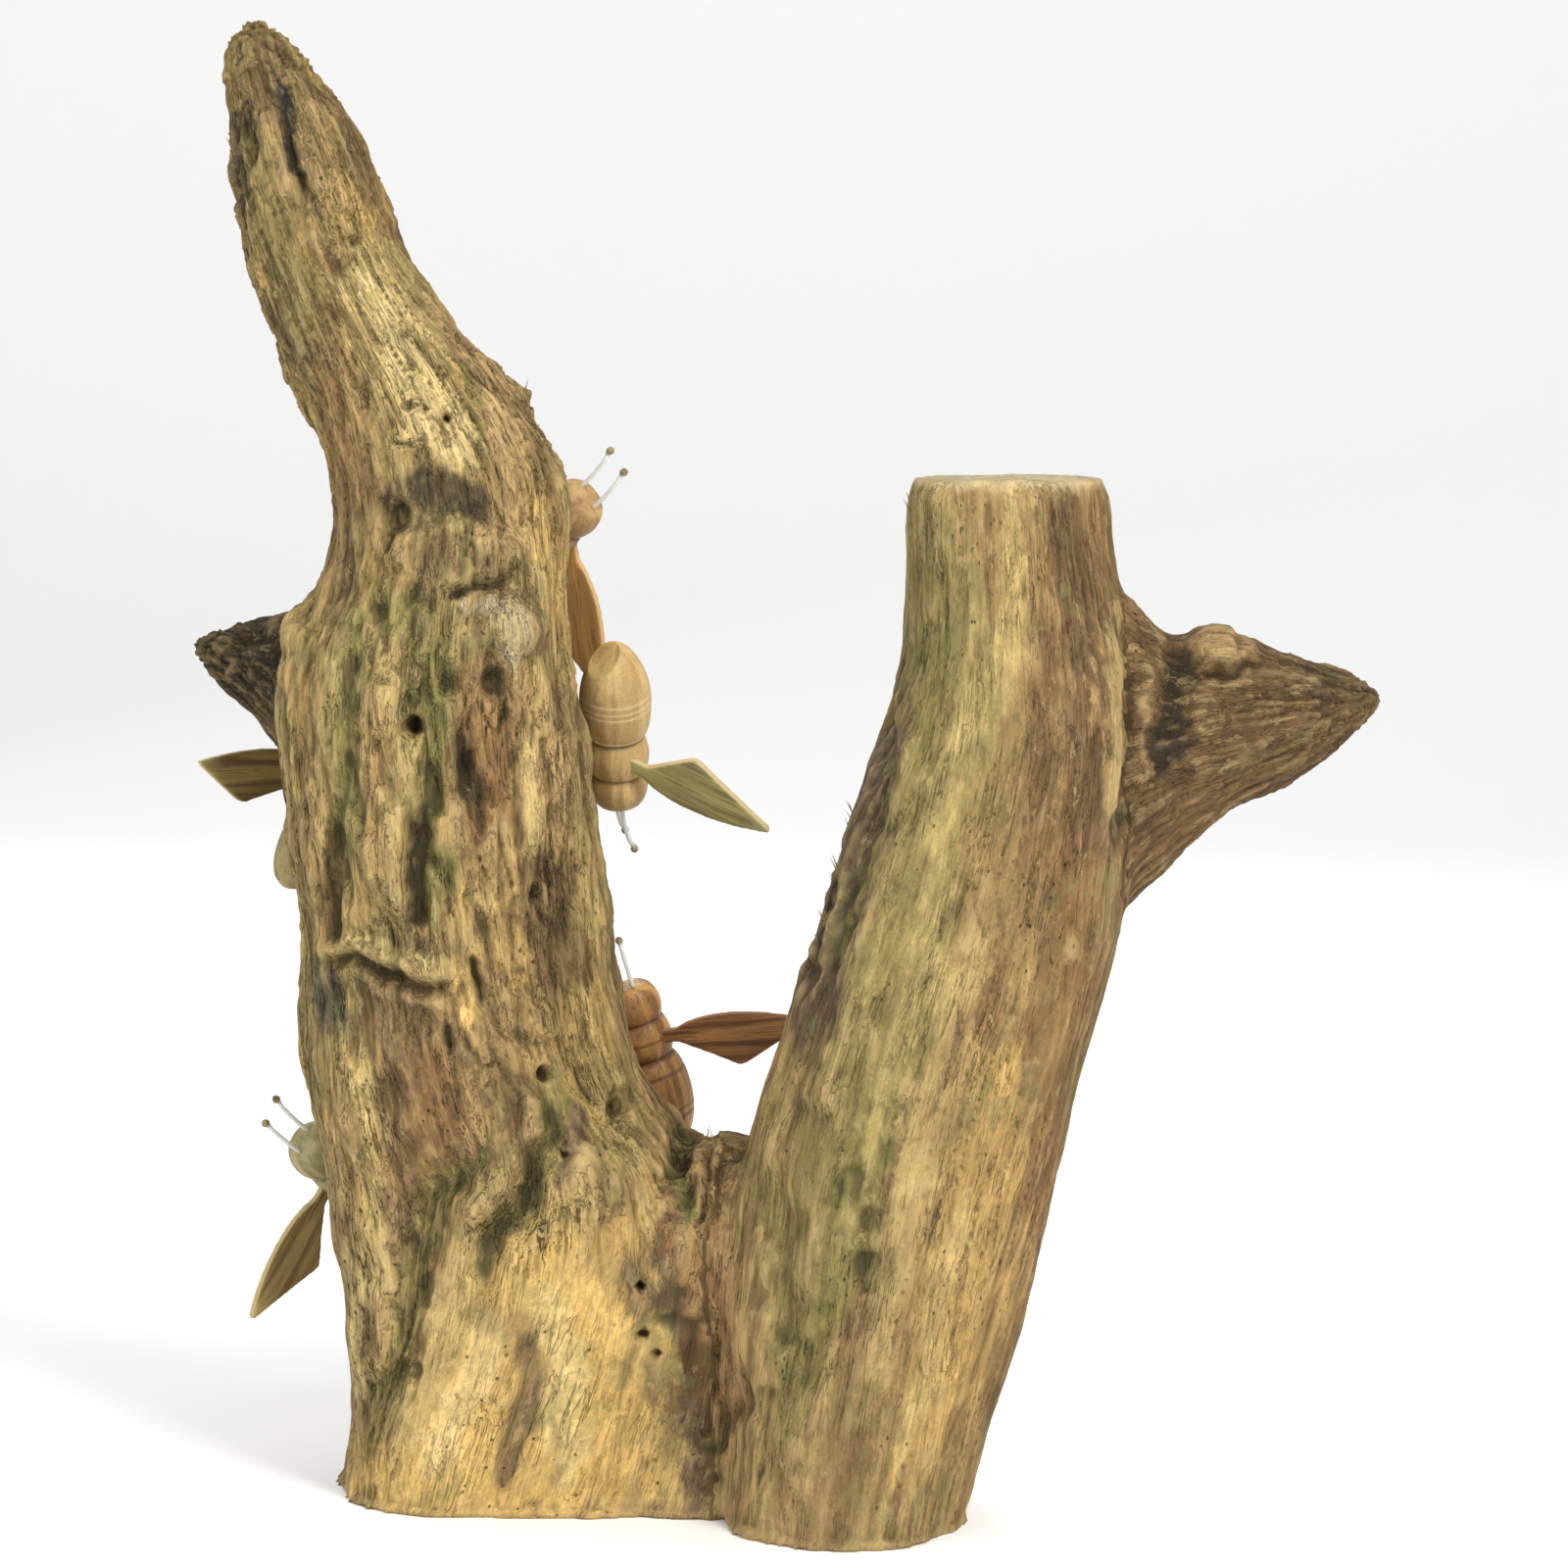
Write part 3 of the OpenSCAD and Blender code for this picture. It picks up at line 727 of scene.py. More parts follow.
# Each wash: shade, line, half width, strength
WASHES = [
    ("straw", [(-98, 426), (-87, 404), (-77, 372)], 14, 0.75),
    ("olive", [(-136, 460), (-128, 430), (-122, 405), (-112, 375)], 11, 0.6),
    ("char", [(-137, 470), (-141, 450), (-138, 434)], 5, 0.85),
    ("char", [(-130, 405), (-120, 390), (-114, 376)], 4, 0.6),
    ("umber", [(-131, 492), (-128, 474)], 8, 0.5),
    ("slate", [(-124, 478), (-120, 462), (-116, 448)], 4, 0.95),
    ("peach", [(-113, 470), (-110, 447), (-102, 430)], 5, 0.8),
    ("umber", [(-100, 462), (-96, 445)], 7, 0.6),
    ("honey", [(-103, 438), (-99, 431)], 8, 0.7),
    ("umber", [(-105, 425), (-103, 408)], 4, 0.6),
    ("russet", [(-110, 400), (-108, 380), (-104, 355), (-98, 338)], 6, 0.5),
    ("straw", [(-99, 422), (-90, 402), (-80, 380), (-70, 358)], 11, 0.85),
    ("cream", [(-95, 412), (-86, 396), (-76, 376), (-64, 356)], 9, 0.85),
    ("peach", [(-84, 436), (-66, 401), (-52, 384), (-50, 365), (-44, 340), (-38, 320)], 6, 0.75),
    ("umber", [(-44, 384), (-36, 366), (-31, 350)], 6, 0.7),
    ("char", [(-84, 341), (-70, 345), (-58, 338)], 7, 0.8),
    ("umber", [(-82, 324), (-62, 321), (-46, 318)], 9, 0.65),
    ("honey", [(-40, 345), (-34, 325), (-32, 300)], 5, 0.6),
    ("umber", [(-104, 332), (-106, 308)], 10, 0.4),
    ("moss", [(-86, 306), (-76, 300), (-70, 290)], 9, 0.65),
    ("moss", [(-98, 304), (-103, 270), (-101, 240), (-106, 205)], 6, 0.75),
    ("moss", [(-70, 294), (-74, 268), (-73, 238), (-74, 205)], 8, 0.85),
    ("straw", [(-92, 296), (-86, 280), (-80, 262), (-87, 240), (-84, 220)], 4.5, 0.7),
    ("straw", [(-112, 290), (-108, 265)], 6, 0.4),
    ("russet", [(-56, 284), (-56, 258), (-60, 234)], 10, 0.7),
    ("char", [(-64, 258), (-61, 243)], 4, 0.8),
    ("char", [(-53, 283), (-52, 278)], 3, 0.7),
    ("bone", [(-51, 302), (-45, 298)], 8, 0.95),
    ("umber", [(-37, 302), (-37, 294)], 4, 0.8),
    ("umber", [(-29, 276), (-28, 262)], 4, 0.6),
    ("peach", [(-36, 262), (-33, 240), (-36, 222)], 6, 0.75),
    ("straw", [(-42, 264), (-40, 240), (-40, 222)], 3, 0.75),
    ("umber", [(-40, 216), (-36, 200), (-28, 185)], 9, 0.8),
    ("umber", [(-106, 228), (-109, 198)], 5, 0.7),
    ("char", [(-76, 240), (-78, 222), (-79, 197)], 3, 0.8),
    ("straw", [(-98, 194), (-86, 190), (-74, 186), (-64, 184)], 5, 0.75),
    ("slate", [(-110, 182), (-108, 168)], 7, 0.85),
    ("umber", [(-93, 180), (-94, 164)], 8, 0.75),
    ("honey", [(-65, 186), (-62, 168)], 3.5, 0.85),
    ("umber", [(-68, 168), (-68, 157)], 2.5, 0.9),
    ("russet", [(-75, 156), (-72, 120)], 8, 0.6),
    ("straw", [(-97, 162), (-94, 125), (-92, 95), (-98, 70)], 5, 0.7),
    ("umber", [(-87, 160), (-86, 120), (-84, 84)], 6, 0.65),
    ("umber", [(-40, 150), (-45, 135), (-55, 118)], 7, 0.6),
    ("honey", [(-84, 12), (-58, 50), (-40, 80), (-22, 70), (-20, 20), (-60, 12)], 19, 0.95),
    ("straw", [(-62, 96), (-70, 60), (-88, 20)], 9, 0.6),
    ("cream", [(-78, 16), (-62, 44), (-52, 66)], 7, 0.6),
    ("cream", [(-30, 16), (-30, 50), (-36, 76)], 7, 0.55),
    ("cream", [(-104, 90), (-101, 60), (-103, 30)], 3, 0.5),
    ("moss", RIB_GROOVE, 6, 0.55),
    ("moss", [(-31, 152), (-34, 130), (-43, 107), (-53, 97), (-57, 82)], 5.5, 0.6),
    ("mauve", [(-44, 62), (-41, 42), (-50, 14)], 4.5, 0.75),
    ("mauve", [(-24, 140), (-31, 112)], 3, 0.85),
    ("umber", [(-60, 70), (-46, 66)], 6, 0.5),
    ("olive", [(-18, 150), (-10, 130), (-14, 108)], 9, 0.4),
    ("mauve", [(14, 126), (5, 98), (5, 76), (14, 48), (15, 20), (13, 0)], 4.5, 0.85),
    ("russet", [(12, 124), (14, 96), (20, 66), (24, 36)], 12, 0.65),
    ("peach", [(25, 100), (26, 76), (28, 44)], 4, 0.5),
    ("umber", [(33, 112), (34, 80), (32, 30)], 3.5, 0.6),
    ("moss", [(9, 131), (10, 98)], 3.5, 0.95),
    ("olive", [(92, 335), (90, 290), (84, 250), (80, 200), (70, 150), (58, 110), (45, 60)], 17, 0.75),
    ("straw", [(120, 341), (118, 292), (101, 250), (96, 208), (87, 166)], 5, 0.75),
    ("moss", [(95, 290), (91, 268)], 7, 0.4),
    ("olive", [(98, 330), (104, 280), (100, 240), (90, 190)], 9, 0.6),
    ("moss", [(92, 183), (85, 158), (71, 127), (69, 99), (54, 65), (43, 36)], 8, 0.55),
    ("straw", [(98, 190), (92, 160), (80, 110)], 4, 0.6),
    ("umber", [(136, 346), (139, 320), (143, 295), (150, 277)], 6, 0.9),
    ("russet", [(146, 235), (140, 190), (132, 150), (124, 100)], 8, 0.45),
    ("honey", [(114, 160), (106, 95), (90, 30)], 15, 0.5),
    ("cream", [(104, 120), (96, 80), (84, 30)], 4, 0.3),
    ("straw", [(108, 300), (98, 240), (84, 180), (72, 120)], 4, 0.45),
    ("mauve", [(80, 285), (74, 255), (64, 220), (54, 180), (50, 160)], 9, 0.9),
    ("char", [(72, 262), (62, 222), (53, 186)], 3.5, 0.8),
    ("umber", [(165, 250), (190, 268), (225, 268)], 32, 0.85),
    ("char", [(180, 288), (176, 272), (170, 252)], 5.5, 0.85),
    ("char", [(226, 280), (244, 276)], 7, 0.6),
    ("peach", [(184, 296), (204, 288)], 4, 0.5),
    ("straw", [(154, 306), (155, 270), (152, 240)], 3.5, 0.5),
    ("bone", [(92, 346), (118, 349), (146, 346)], 2.2, 0.7),
]
print("washes", len(WASHES))

# %% Lay the washes on
points = points_of(log)
edges = edges_of(log)
p = drawn_mm(points)
limb, across, deep, grain = grain_of(p)
near_side = smoothstep(-0.3, 0.12, -deep)
streaks = layered(along_grain(3.4, 26), 131, 3)
ragged = layered(p / (5, 5, 8), 133, 2)
wander = np.stack([layered(p / 13, 11), layered(p / 13, 12)], axis=1) * 2.2
face_on = p[:, [0, 2]] + wander
tint = np.tile(np.array(SHADES["tan"]), (len(p), 1))


def wash(shade, share):
    """Lays a shade over the tint by that share of each point."""
    global tint
    tint = tint + np.clip(share, 0, 1)[:, None] * (np.array(SHADES[shade]) - tint)


blotches = layered(p / (24, 24, 50), 101, 3)
on_stub, on_branch = (averaged(1.0 * (limb == which), edges, 10) for which in (STUB, BRANCH))
wash("olive", 0.5 * smoothstep(0.0, 0.5, blotches) * (limb != BRANCH))
warm = layered(p / (18, 18, 40), 105, 3)
wash("honey", 0.35 * smoothstep(0.05, 0.5, warm) * (limb == LEFT))
wash("umber", 0.55 * smoothstep(0.12, 0.5, layered(along_grain(9, 42), 111, 3)))
wash("straw", 0.45 * smoothstep(0.15, 0.5, layered(along_grain(6, 40), 121, 3)) * (limb != BRANCH))
shaded_half = smoothstep(60, 120, p[:, 2]) * smoothstep(-0.1, 0.7, across + 0.5 * blotches)
wash("umber", 0.32 * (limb == RIGHT) * shaded_half)
wash("russet", 0.34 * (limb == RIGHT) * smoothstep(85, 125, p[:, 0] - 0.12 * (p[:, 2] - 150)))
wash("russet", 0.6 * on_branch)
wash("umber", 0.75 * on_branch * smoothstep(-0.2, 0.5, blotches))
wash("umber", 0.9 * on_stub)
wash("char", 0.94 * on_stub * smoothstep(-1.4, -0.3, blotches + 0.6 * (on_stub - 1)))
for shade, line, width, strength in WASHES:
    away, share = stroke(line)
    longish = np.linalg.norm(np.array(line[0]) - line[-1]) > 4 * width
    tapered = longish * 0.5 * (1 - fading(share, 0.12))
    edge = away / width + 0.42 * streaks + 0.22 * ragged + tapered
    wash(shade, near_side * strength * (1 - smoothstep(0.7, 1.15, edge)))
sawn = smoothstep(344.5, 346.0, p[:, 2]) * (limb == RIGHT)
wash("bone", 0.75 * sawn)
ring = oval(-5, 77, 5, 14, 15)
wash("char", near_side * 0.85 * (1 - smoothstep(0.75, 1.1, ring)))
wash("russet", near_side * 0.9 * (1 - smoothstep(0.35, 0.7, oval(-5.5, 73, 4.4, 10, 15))))
print("tint", tint.mean(0).round(3), "knot points", int((ring < 1).sum()))

# %% How hollow each point is
normals = normals_of(log)


def hollow_by(rounds):
    """How far each point lies below its neighbourhood, in millimetres."""
    return ((averaged(points, edges, rounds) - points) * normals).sum(axis=1) / MM


crevice = hollow_by(3)
dip = averaged(hollow_by(18), edges, 2)
in_holes = in_nest_holes(points, 0.6 * MM)
for name, values in (("crevice", crevice), ("dip", dip)):
    print(name, np.percentile(values, [2, 50, 98]).round(3))


# %% Store them on the mesh
FIELDS = {"FLOAT": "value", "FLOAT_VECTOR": "vector", "FLOAT_COLOR": "color"}


def store(obj, name, values, kind="FLOAT"):
    """Writes one value, vector or colour for each point of the mesh."""
    values = np.asarray(values, np.float32)
    layer = obj.data.attributes.new(name, kind, "POINT")
    if kind == "FLOAT_COLOR":
        values = np.concatenate([values, np.ones((len(values), 1), np.float32)], axis=1)
    layer.data.foreach_set(FIELDS[kind], values.ravel())


store(log, "grain", grain * MM, "FLOAT_VECTOR")
store(log, "tint", tint, "FLOAT_COLOR")
# hollow darkens the root wood in its material: painted shade in crevices and dips
store(log, "hollow", smoothstep(0.02, 0.42, crevice) * 0.6 + smoothstep(0.15, 1.5, dip) * 0.6)
store(log, "crest", smoothstep(0.02, 0.4, -crevice) * 0.6 + smoothstep(0.15, 1.3, -dip) * 0.5)
store(log, "bored", in_holes)
store(log, "rough", roughness_of(p, limb, edges))
print("attributes", [a.name for a in log.data.attributes if not a.name.startswith(".")])

# %% [markdown]
# ## The root wood's material
#
# A small kit of node helpers keeps each material short. The grain coordinates are squeezed
# along the grain, so ordinary noise comes out as streaks and fibres. Dark streaks, pale fibres,
# checks and pores each change the colour, and the same values drive the bump, so that what
# looks like a crack also catches the light like one.


# %% Node helpers
class Graph:
    """Adds nodes to a tree and links them."""

    def put(self, value, socket):
        """Links a socket, or sets a plain value; a colour of three numbers is opaque."""
        if isinstance(value, bpy.types.NodeSocket):
            self.tree.links.new(value, socket)
        elif socket.type == "RGBA" and len(value) == 3:
            socket.default_value = (*value, 1)
        else:
            socket.default_value = value

    def add(self, kind, inputs=None, **settings):
        """A new node with these settings and inputs."""
        node = self.tree.nodes.new(kind)
        for key, value in settings.items():
            setattr(node, key, value)
        for key, value in (inputs or {}).items():
            self.put(value, node.inputs[key])
        return node

    def math(self, what, a, b=0.0, c=0.0, clamp=False):
        inputs = {0: a, 1: b, 2: c}
        return self.add("ShaderNodeMath", inputs, operation=what, use_clamp=clamp).outputs[0]

    def times(self, a, b, clamp=False):
        return self.math("MULTIPLY", a, b, clamp=clamp)


class Nodes(Graph):
    """Makes and links shader nodes in one material."""

    def __init__(self, name):
        self.material = bpy.data.materials.new(name)
        self.material.use_nodes = True
        self.tree = self.material.node_tree
        self.shader = self.tree.nodes["Principled BSDF"]

    def attribute(self, name, output="Fac"):
        return self.add("ShaderNodeAttribute", attribute_name=name).outputs[output]

    def object_place(self):
        return self.add("ShaderNodeTexCoord").outputs["Object"]

    def stretched(self, across, along, vector=None):
        """Grain coordinates, or a vector, in bumps to a metre across and along."""
        if vector is None:
            vector = self.attribute("grain", "Vector")
        inputs = {0: vector, 1: (across, across, along)}
        return self.add("ShaderNodeVectorMath", inputs, operation="MULTIPLY").outputs[0]

    def noise(self, across, along, detail=4.0, rough=0.55, warp=0.0, vector=None):
        """Noise with so many bumps to a metre across the grain and along it."""
        return self.add("ShaderNodeTexNoise", {
            "Vector": self.stretched(across, along, vector), "Scale": 1, "Detail": detail,
            "Roughness": rough, "Distortion": warp,
        }).outputs["Fac"]

    def crack(self, *noise):
        """0 along the middle value of a noise, so that thin lines come out, and more beside it."""
        return self.math("ABSOLUTE", self.math("SUBTRACT", self.noise(*noise), 0.5))

    def speckle(self, across, along):
        inputs = {"Vector": self.stretched(across, along), "Scale": 1}
        return self.add("ShaderNodeTexVoronoi", inputs).outputs["Distance"]

    def between(self, value, low, high, to_low=0.0, to_high=1.0):
        """A soft ramp of a value from low to high."""
        return self.add("ShaderNodeMapRange", {
            "Value": value, "From Min": low, "From Max": high, "To Min": to_low, "To Max": to_high,
        }, interpolation_type="SMOOTHSTEP").outputs["Result"]

    def mix(self, share, a, b):
        """From colour a to colour b by that share."""
        return self.add("ShaderNodeMix", {0: share, 6: a, 7: b}, data_type="RGBA").outputs[2]

    def shade(self, colour, low, high, value):
        """The colour times a number that follows the value from low to high."""
        level = self.between(value, 0.3, 0.7, low, high)
        inputs = {0: colour, "Scale": level}
        return self.add("ShaderNodeVectorMath", inputs, operation="SCALE").outputs[0]

    def bump(self, height, depth, after=None):
        """Bump by a height from 0 to 1 that stands for that depth in metres."""
        inputs = {"Distance": depth, "Height": height}
        if after is not None:
            inputs["Normal"] = after
        return self.add("ShaderNodeBump", inputs).outputs[0]

    def finish(self, colour, roughness, normal=None):
        self.put(colour, self.shader.inputs["Base Color"])
        self.put(roughness, self.shader.inputs["Roughness"])
        if normal is not None:
            self.put(normal, self.shader.inputs["Normal"])
        return self.material


# %% Root wood
# Painted shade inside checks and pores
CRACK_DARK = (0.028, 0.018, 0.010)


def root_wood():
    """Weathered wood: the tint of each point, with streaks, fibres, checks, pores and painted shade in
    hollows.
    """
    n = Nodes("root_wood")
    tint_at = n.attribute("tint", "Color")
    hollow, crest, bored = n.attribute("hollow"), n.attribute("crest"), n.attribute("bored")
    streak = n.noise(170, 18, 5, 0.62, 0.6)
    fine = n.noise(560, 52, 5, 0.65, 0.3)
    fibre = n.noise(1600, 120, 3, 0.6)
    mottle = n.noise(70, 42, 6, 0.68, 0.9)
    lichen = n.noise(120, 90, 6, 0.75, 0.6)
    flake = n.noise(150, 75, 6, 0.7, 0.4)
    grit = n.noise(1000, 800, 4, 0.7)
    wild = n.between(n.attribute("rough"), 0.35, 0.95)
    calm_wood = n.shade(n.shade(tint_at, 0.88, 1.12, streak), 0.88, 1.12, fine)
    rough_wood = n.shade(n.shade(tint_at, 0.74, 1.24, streak), 0.68, 1.30, fine)
    colour = n.mix(wild, calm_wood, rough_wood)
    colour = n.shade(colour, 0.84, 1.14, fibre)
    colour = n.shade(colour, 0.78, 1.20, mottle)
    colour = n.shade(colour, 0.84, 1.14, grit)
    rotten = n.times(n.between(flake, 0.575, 0.605), n.between(wild, 0.0, 0.7, 0.25, 1))
    colour = n.mix(n.times(rotten, 0.42), colour, (0.085, 0.052, 0.024))
    colour = n.mix(n.between(flake, 0.40, 0.375, 0, 0.34), colour, (0.52, 0.38, 0.17))
    green_zone = n.between(n.noise(17, 11, 2), 0.5, 0.62)
    green = n.times(n.between(lichen, 0.5, 0.56), green_zone)
    colour = n.mix(n.times(green, 0.4), colour, (0.19, 0.20, 0.07))
    check = n.crack(210, 13, 4, 0.6, 0.7)
    check_zone = n.between(n.noise(34, 16, 2), 0.45, 0.56)
    check_dark = n.times(n.between(check, 0.0, 0.014, 1, 0), check_zone)
    hair = n.crack(620, 42, 3, 0.6, 0.5)
    hair_zone = n.between(n.noise(60, 30, 3), 0.46, 0.58)
    check_dark = n.times(check_dark, n.between(wild, 0.0, 0.8, 0.45, 1))
    hair_zone = n.times(hair_zone, n.between(wild, 0.0, 0.8, 0.3, 1))
    check_dark = n.math("MAXIMUM", check_dark, n.times(n.between(hair, 0.0, 0.02, 0.8, 0), hair_zone))
    pore = n.between(n.speckle(300, 190), 0.06, 0.14, 1, 0)
    pore_zone = n.between(n.noise(45, 30, 2), 0.50, 0.60)
    pore_dark = n.times(pore, pore_zone)
    # Painted shade in the checks and pores
    colour = n.mix(n.times(check_dark, 0.85), colour, CRACK_DARK)
    colour = n.mix(n.times(pore_dark, 0.75), colour, CRACK_DARK)
    # Painted shade: the wood is darkened towards near black in crevices and dips
    hollow_shade = n.times(hollow, n.between(mottle, 0.3, 0.6, 0.65, 1.1), clamp=True)
    colour = n.mix(n.times(hollow_shade, 0.8), colour, (0.040, 0.032, 0.014))
    worn = n.times(crest, n.between(streak, 0.35, 0.6, 0.2, 0.5), clamp=True)
    colour = n.mix(worn, colour, (0.50, 0.36, 0.16))
    colour = n.mix(n.times(bored, 0.7), colour, (0.30, 0.18, 0.075))
    n.shader.inputs["Specular IOR Level"].default_value = 0.18
    height = n.math("MULTIPLY_ADD", fine, 0.45, n.times(streak, 0.35))
    height = n.math("SUBTRACT", height, n.times(rotten, 0.2))
    height = n.times(height, n.between(wild, 0.0, 1.0, 0.35, 1))
    normal = n.bump(height, 1.7 * MM)
    normal = n.bump(n.math("SUBTRACT", 1.0, n.math("MAXIMUM", check_dark, pore_dark)), 1.0 * MM, normal)
    normal = n.bump(n.math("MULTIPLY_ADD", fibre, 0.5, n.times(grit, 0.5)), 0.5 * MM, normal)
    return n.finish(colour, n.between(streak, 0.3, 0.7, 0.92, 0.74), normal)


ROOT_WOOD = root_wood()
log.data.materials.clear()
log.data.materials.append(ROOT_WOOD)
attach(log, "root")
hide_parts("log")
print("root wood nodes", len(ROOT_WOOD.node_tree.nodes))

# %% [markdown]
# ## Where each bee sits
#
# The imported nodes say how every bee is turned. Its peg gives the way out from the log, its
# body's long axis the way to the head, and the third direction follows. With those three, each
# bee can be made upright at the origin, as on the lathe, and then put in its place.


# %% Read each bee's place from its nodes
def corners(node):
    """The node's points as rows."""
    return np.array([v.co for v in nodes[node].data.vertices], float)


def long_axis(points):
    """The direction in which points are spread most."""
    spread = points - (points.min(0) + points.max(0)) / 2
    return np.linalg.eigh(spread.T @ spread)[1][:, -1]


def seat_of(bee):
    """The bee's place: a matrix whose Z runs to the head, Y to the back and X to its left."""
    body, peg = corners(f"bee_{bee}_body"), np.unique(corners(f"bee_{bee}_peg").round(7), axis=0)
    out = long_axis(peg)
    if (body.mean(0) - peg.mean(0)) @ out < 0:
        out = -out
    antennae = np.vstack([corners(f"bee_{bee}_{side}_antenna") for side in ("left", "right")])
    flat = np.unique(body.round(6), axis=0)
    head = long_axis(flat)
    if (antennae.mean(0) - flat.mean(0)) @ head < 0:
        head = -head
    head = head - out * (head @ out)
    head /= np.linalg.norm(head)
    left = np.cross(out, head)
    frame_of = np.stack([left, out, head], axis=1)
    local = flat @ frame_of
    middle = (local.min(0) + local.max(0)) / 2
    middle[2] = local[:, 2].min()
    place = Matrix(frame_of.tolist()).to_4x4()
    place.translation = Vector(frame_of @ middle)
    return place, (local.max(0) - local.min(0))


SEATS = {bee: seat_of(bee) for bee in BEE_NAMES}
for bee, (place, size) in SEATS.items():
    print(bee, "at", [round(x, 3) for x in place.translation], "size mm", (size / MM).round(2))

# %% [markdown]
# ## Bees' bodies, turned on a lathe
#
# A body is one piece of dowel with three lobes, so its shape follows a rule: an outline spun
# round an axis. Geometry Nodes do what the lathe does. A grid is laid out, one way round the
# dowel and one way along the outline, and each of its points is sent to its angle and radius.
# Fine tool rings, a little wobble of the hand, and one chisel facet finish it.


# %% Node tree helpers
class Tree(Graph):
    """A Geometry Nodes tree with named inputs that ends in one output."""

    def __init__(self, name, inputs):
        self.tree = bpy.data.node_groups.new(name, "GeometryNodeTree")
        face = self.tree.interface
        self.ids = {}
        for label, kind, value in inputs:
            item = face.new_socket(label, in_out="INPUT", socket_type=kind)
            self.ids[label] = item.identifier
            if value is not None:
                item.default_value = value
        face.new_socket("Geometry", in_out="OUTPUT", socket_type="NodeSocketGeometry")
        self.start = self.tree.nodes.new("NodeGroupInput")
        self.end = self.tree.nodes.new("NodeGroupOutput")

    def given(self, label):
        """The input of that name."""
        return self.start.outputs[label]

    def out(self, geometry):
        """Realizes the result, gives it its material and ends the tree."""
        real = self.add("GeometryNodeRealizeInstances", {"Geometry": geometry})
        inputs = {"Geometry": real.outputs[0], "Material": self.given("Material")}
        coat = self.add("GeometryNodeSetMaterial", inputs)
        self.tree.links.new(coat.outputs[0], self.end.inputs[0])

    def grown(self, name, values):
        """A plain mesh object made by the tree with these input values."""
        obj = bpy.data.objects.new(name + "_raw", bpy.data.meshes.new(name))
        scene.collection.objects.link(obj)
        grow = obj.modifiers.new("grow", "NODES")
        grow.node_group = self.tree
        for label, value in values.items():
            grow[self.ids[label]] = value
        obj.update_tag()
        return plain_mesh(obj, name)


# %% The lathe
# Points closer than this are one point, in metres
SAME_POINT = 0.00001


def lathe_tree():
    """Spins the outline curve of an object round Z."""
    t = Tree("lathe", [
        ("Outline", "NodeSocketObject", None), ("Steps Round", "NodeSocketInt", 96),
        ("Steps Along", "NodeSocketInt", 150), ("Material", "NodeSocketMaterial", None),
    ])
    outline = t.add("GeometryNodeObjectInfo", {"Object": t.given("Outline")})
    columns = t.math("ADD", t.given("Steps Round"), 1)
    grid = t.add("GeometryNodeMeshGrid", {
        "Size X": 1.0, "Size Y": 1.0, "Vertices X": columns, "Vertices Y": t.given("Steps Along"),
    })
    spot = t.add("ShaderNodeSeparateXYZ", {0: t.add("GeometryNodeInputPosition").outputs[0]})
    turn = t.times(t.math("ADD", spot.outputs[0], 0.5), math.tau)
    along = t.math("ADD", spot.outputs[1], 0.5)
    inputs = {"Curves": outline.outputs["Geometry"], "Factor": along}
    sample = t.add("GeometryNodeSampleCurve", inputs, mode="FACTOR")
    line = t.add("ShaderNodeSeparateXYZ", {0: sample.outputs["Position"]})
    x = t.times(line.outputs[0], t.math("COSINE", turn))
    y = t.times(line.outputs[0], t.math("SINE", turn))
    place = t.add("ShaderNodeCombineXYZ", {0: x, 1: y, 2: line.outputs[2]})
    spun = t.add("GeometryNodeSetPosition", {"Geometry": grid.outputs["Mesh"], "Position": place.outputs[0]})
    closed = t.add("GeometryNodeMergeByDistance", {"Geometry": spun.outputs[0], "Distance": SAME_POINT})
    t.out(closed.outputs[0])
    return t


LATHE = lathe_tree()


def curve_object(name, places):
    """A plain poly curve through the places."""
    data = bpy.data.curves.new(name, "CURVE")
    data.dimensions = "3D"
    spline = data.splines.new("POLY")
    spline.points.add(len(places) - 1)
    for point, place in zip(spline.points, places):
        point.co = (*place, 1)
    obj = bpy.data.objects.new(name, data)
    scene.collection.objects.link(obj)
    return obj


# %% The outline of a body
# Shares of the body's length from the tail: the waist, the neck, the face
WAIST, NECK = 36 / 63, 50 / 63
ABDOMEN_R, THORAX_R, HEAD_R, WAIST_R, NECK_R, FACE_R = 12.25, 11.0, 10.25, 8.5, 9.5, 6.0


def lobe(z0, widest, z1, r0, r, r1, full0, full1, steps=40):
    """A lobe's outline, from its tail end to its head end, in millimetres."""
    line = []
    for i in range(steps + 1):
        u = 1 - i / steps
        line.append((r0 + (r - r0) * max(0, 1 - u**full0) ** (1 / full0), widest + (z0 - widest) * u))
    for i in range(1, steps + 1):
        u = i / steps
        line.append((r1 + (r - r1) * max(0, 1 - u**full1) ** (1 / full1), widest + (z1 - widest) * u))
    return line


def body_outline(length, rings):
    """Radius and height of the whole body, with fine rings cut in where they are asked for."""
    waist, neck = WAIST * length, NECK * length
    line = lobe(0, 0.6 * waist, waist, 0, ABDOMEN_R, WAIST_R, 1.8, 2.1)
    line += lobe(waist, (waist + neck) / 2, neck, WAIST_R, THORAX_R, NECK_R - 0.6, 1.6, 1.6, 22)[1:]
    line += lobe(neck, neck + 0.40 * (length - neck), length, NECK_R - 0.6, HEAD_R, FACE_R, 1.6, 1.8, 22)[1:]
    line += [(FACE_R * 0.86, length + 0.1), (FACE_R * 0.5, length + 0.12), (0, length + 0.12)]
    cut = []
    for r, z in line:
        for at, half, depth in rings:
            r -= depth * math.exp(-(((z - at) / half) ** 2)) * min(1, r / 3)
        cut.append((max(r, 0) * MM, 0, z * MM))
    return cut


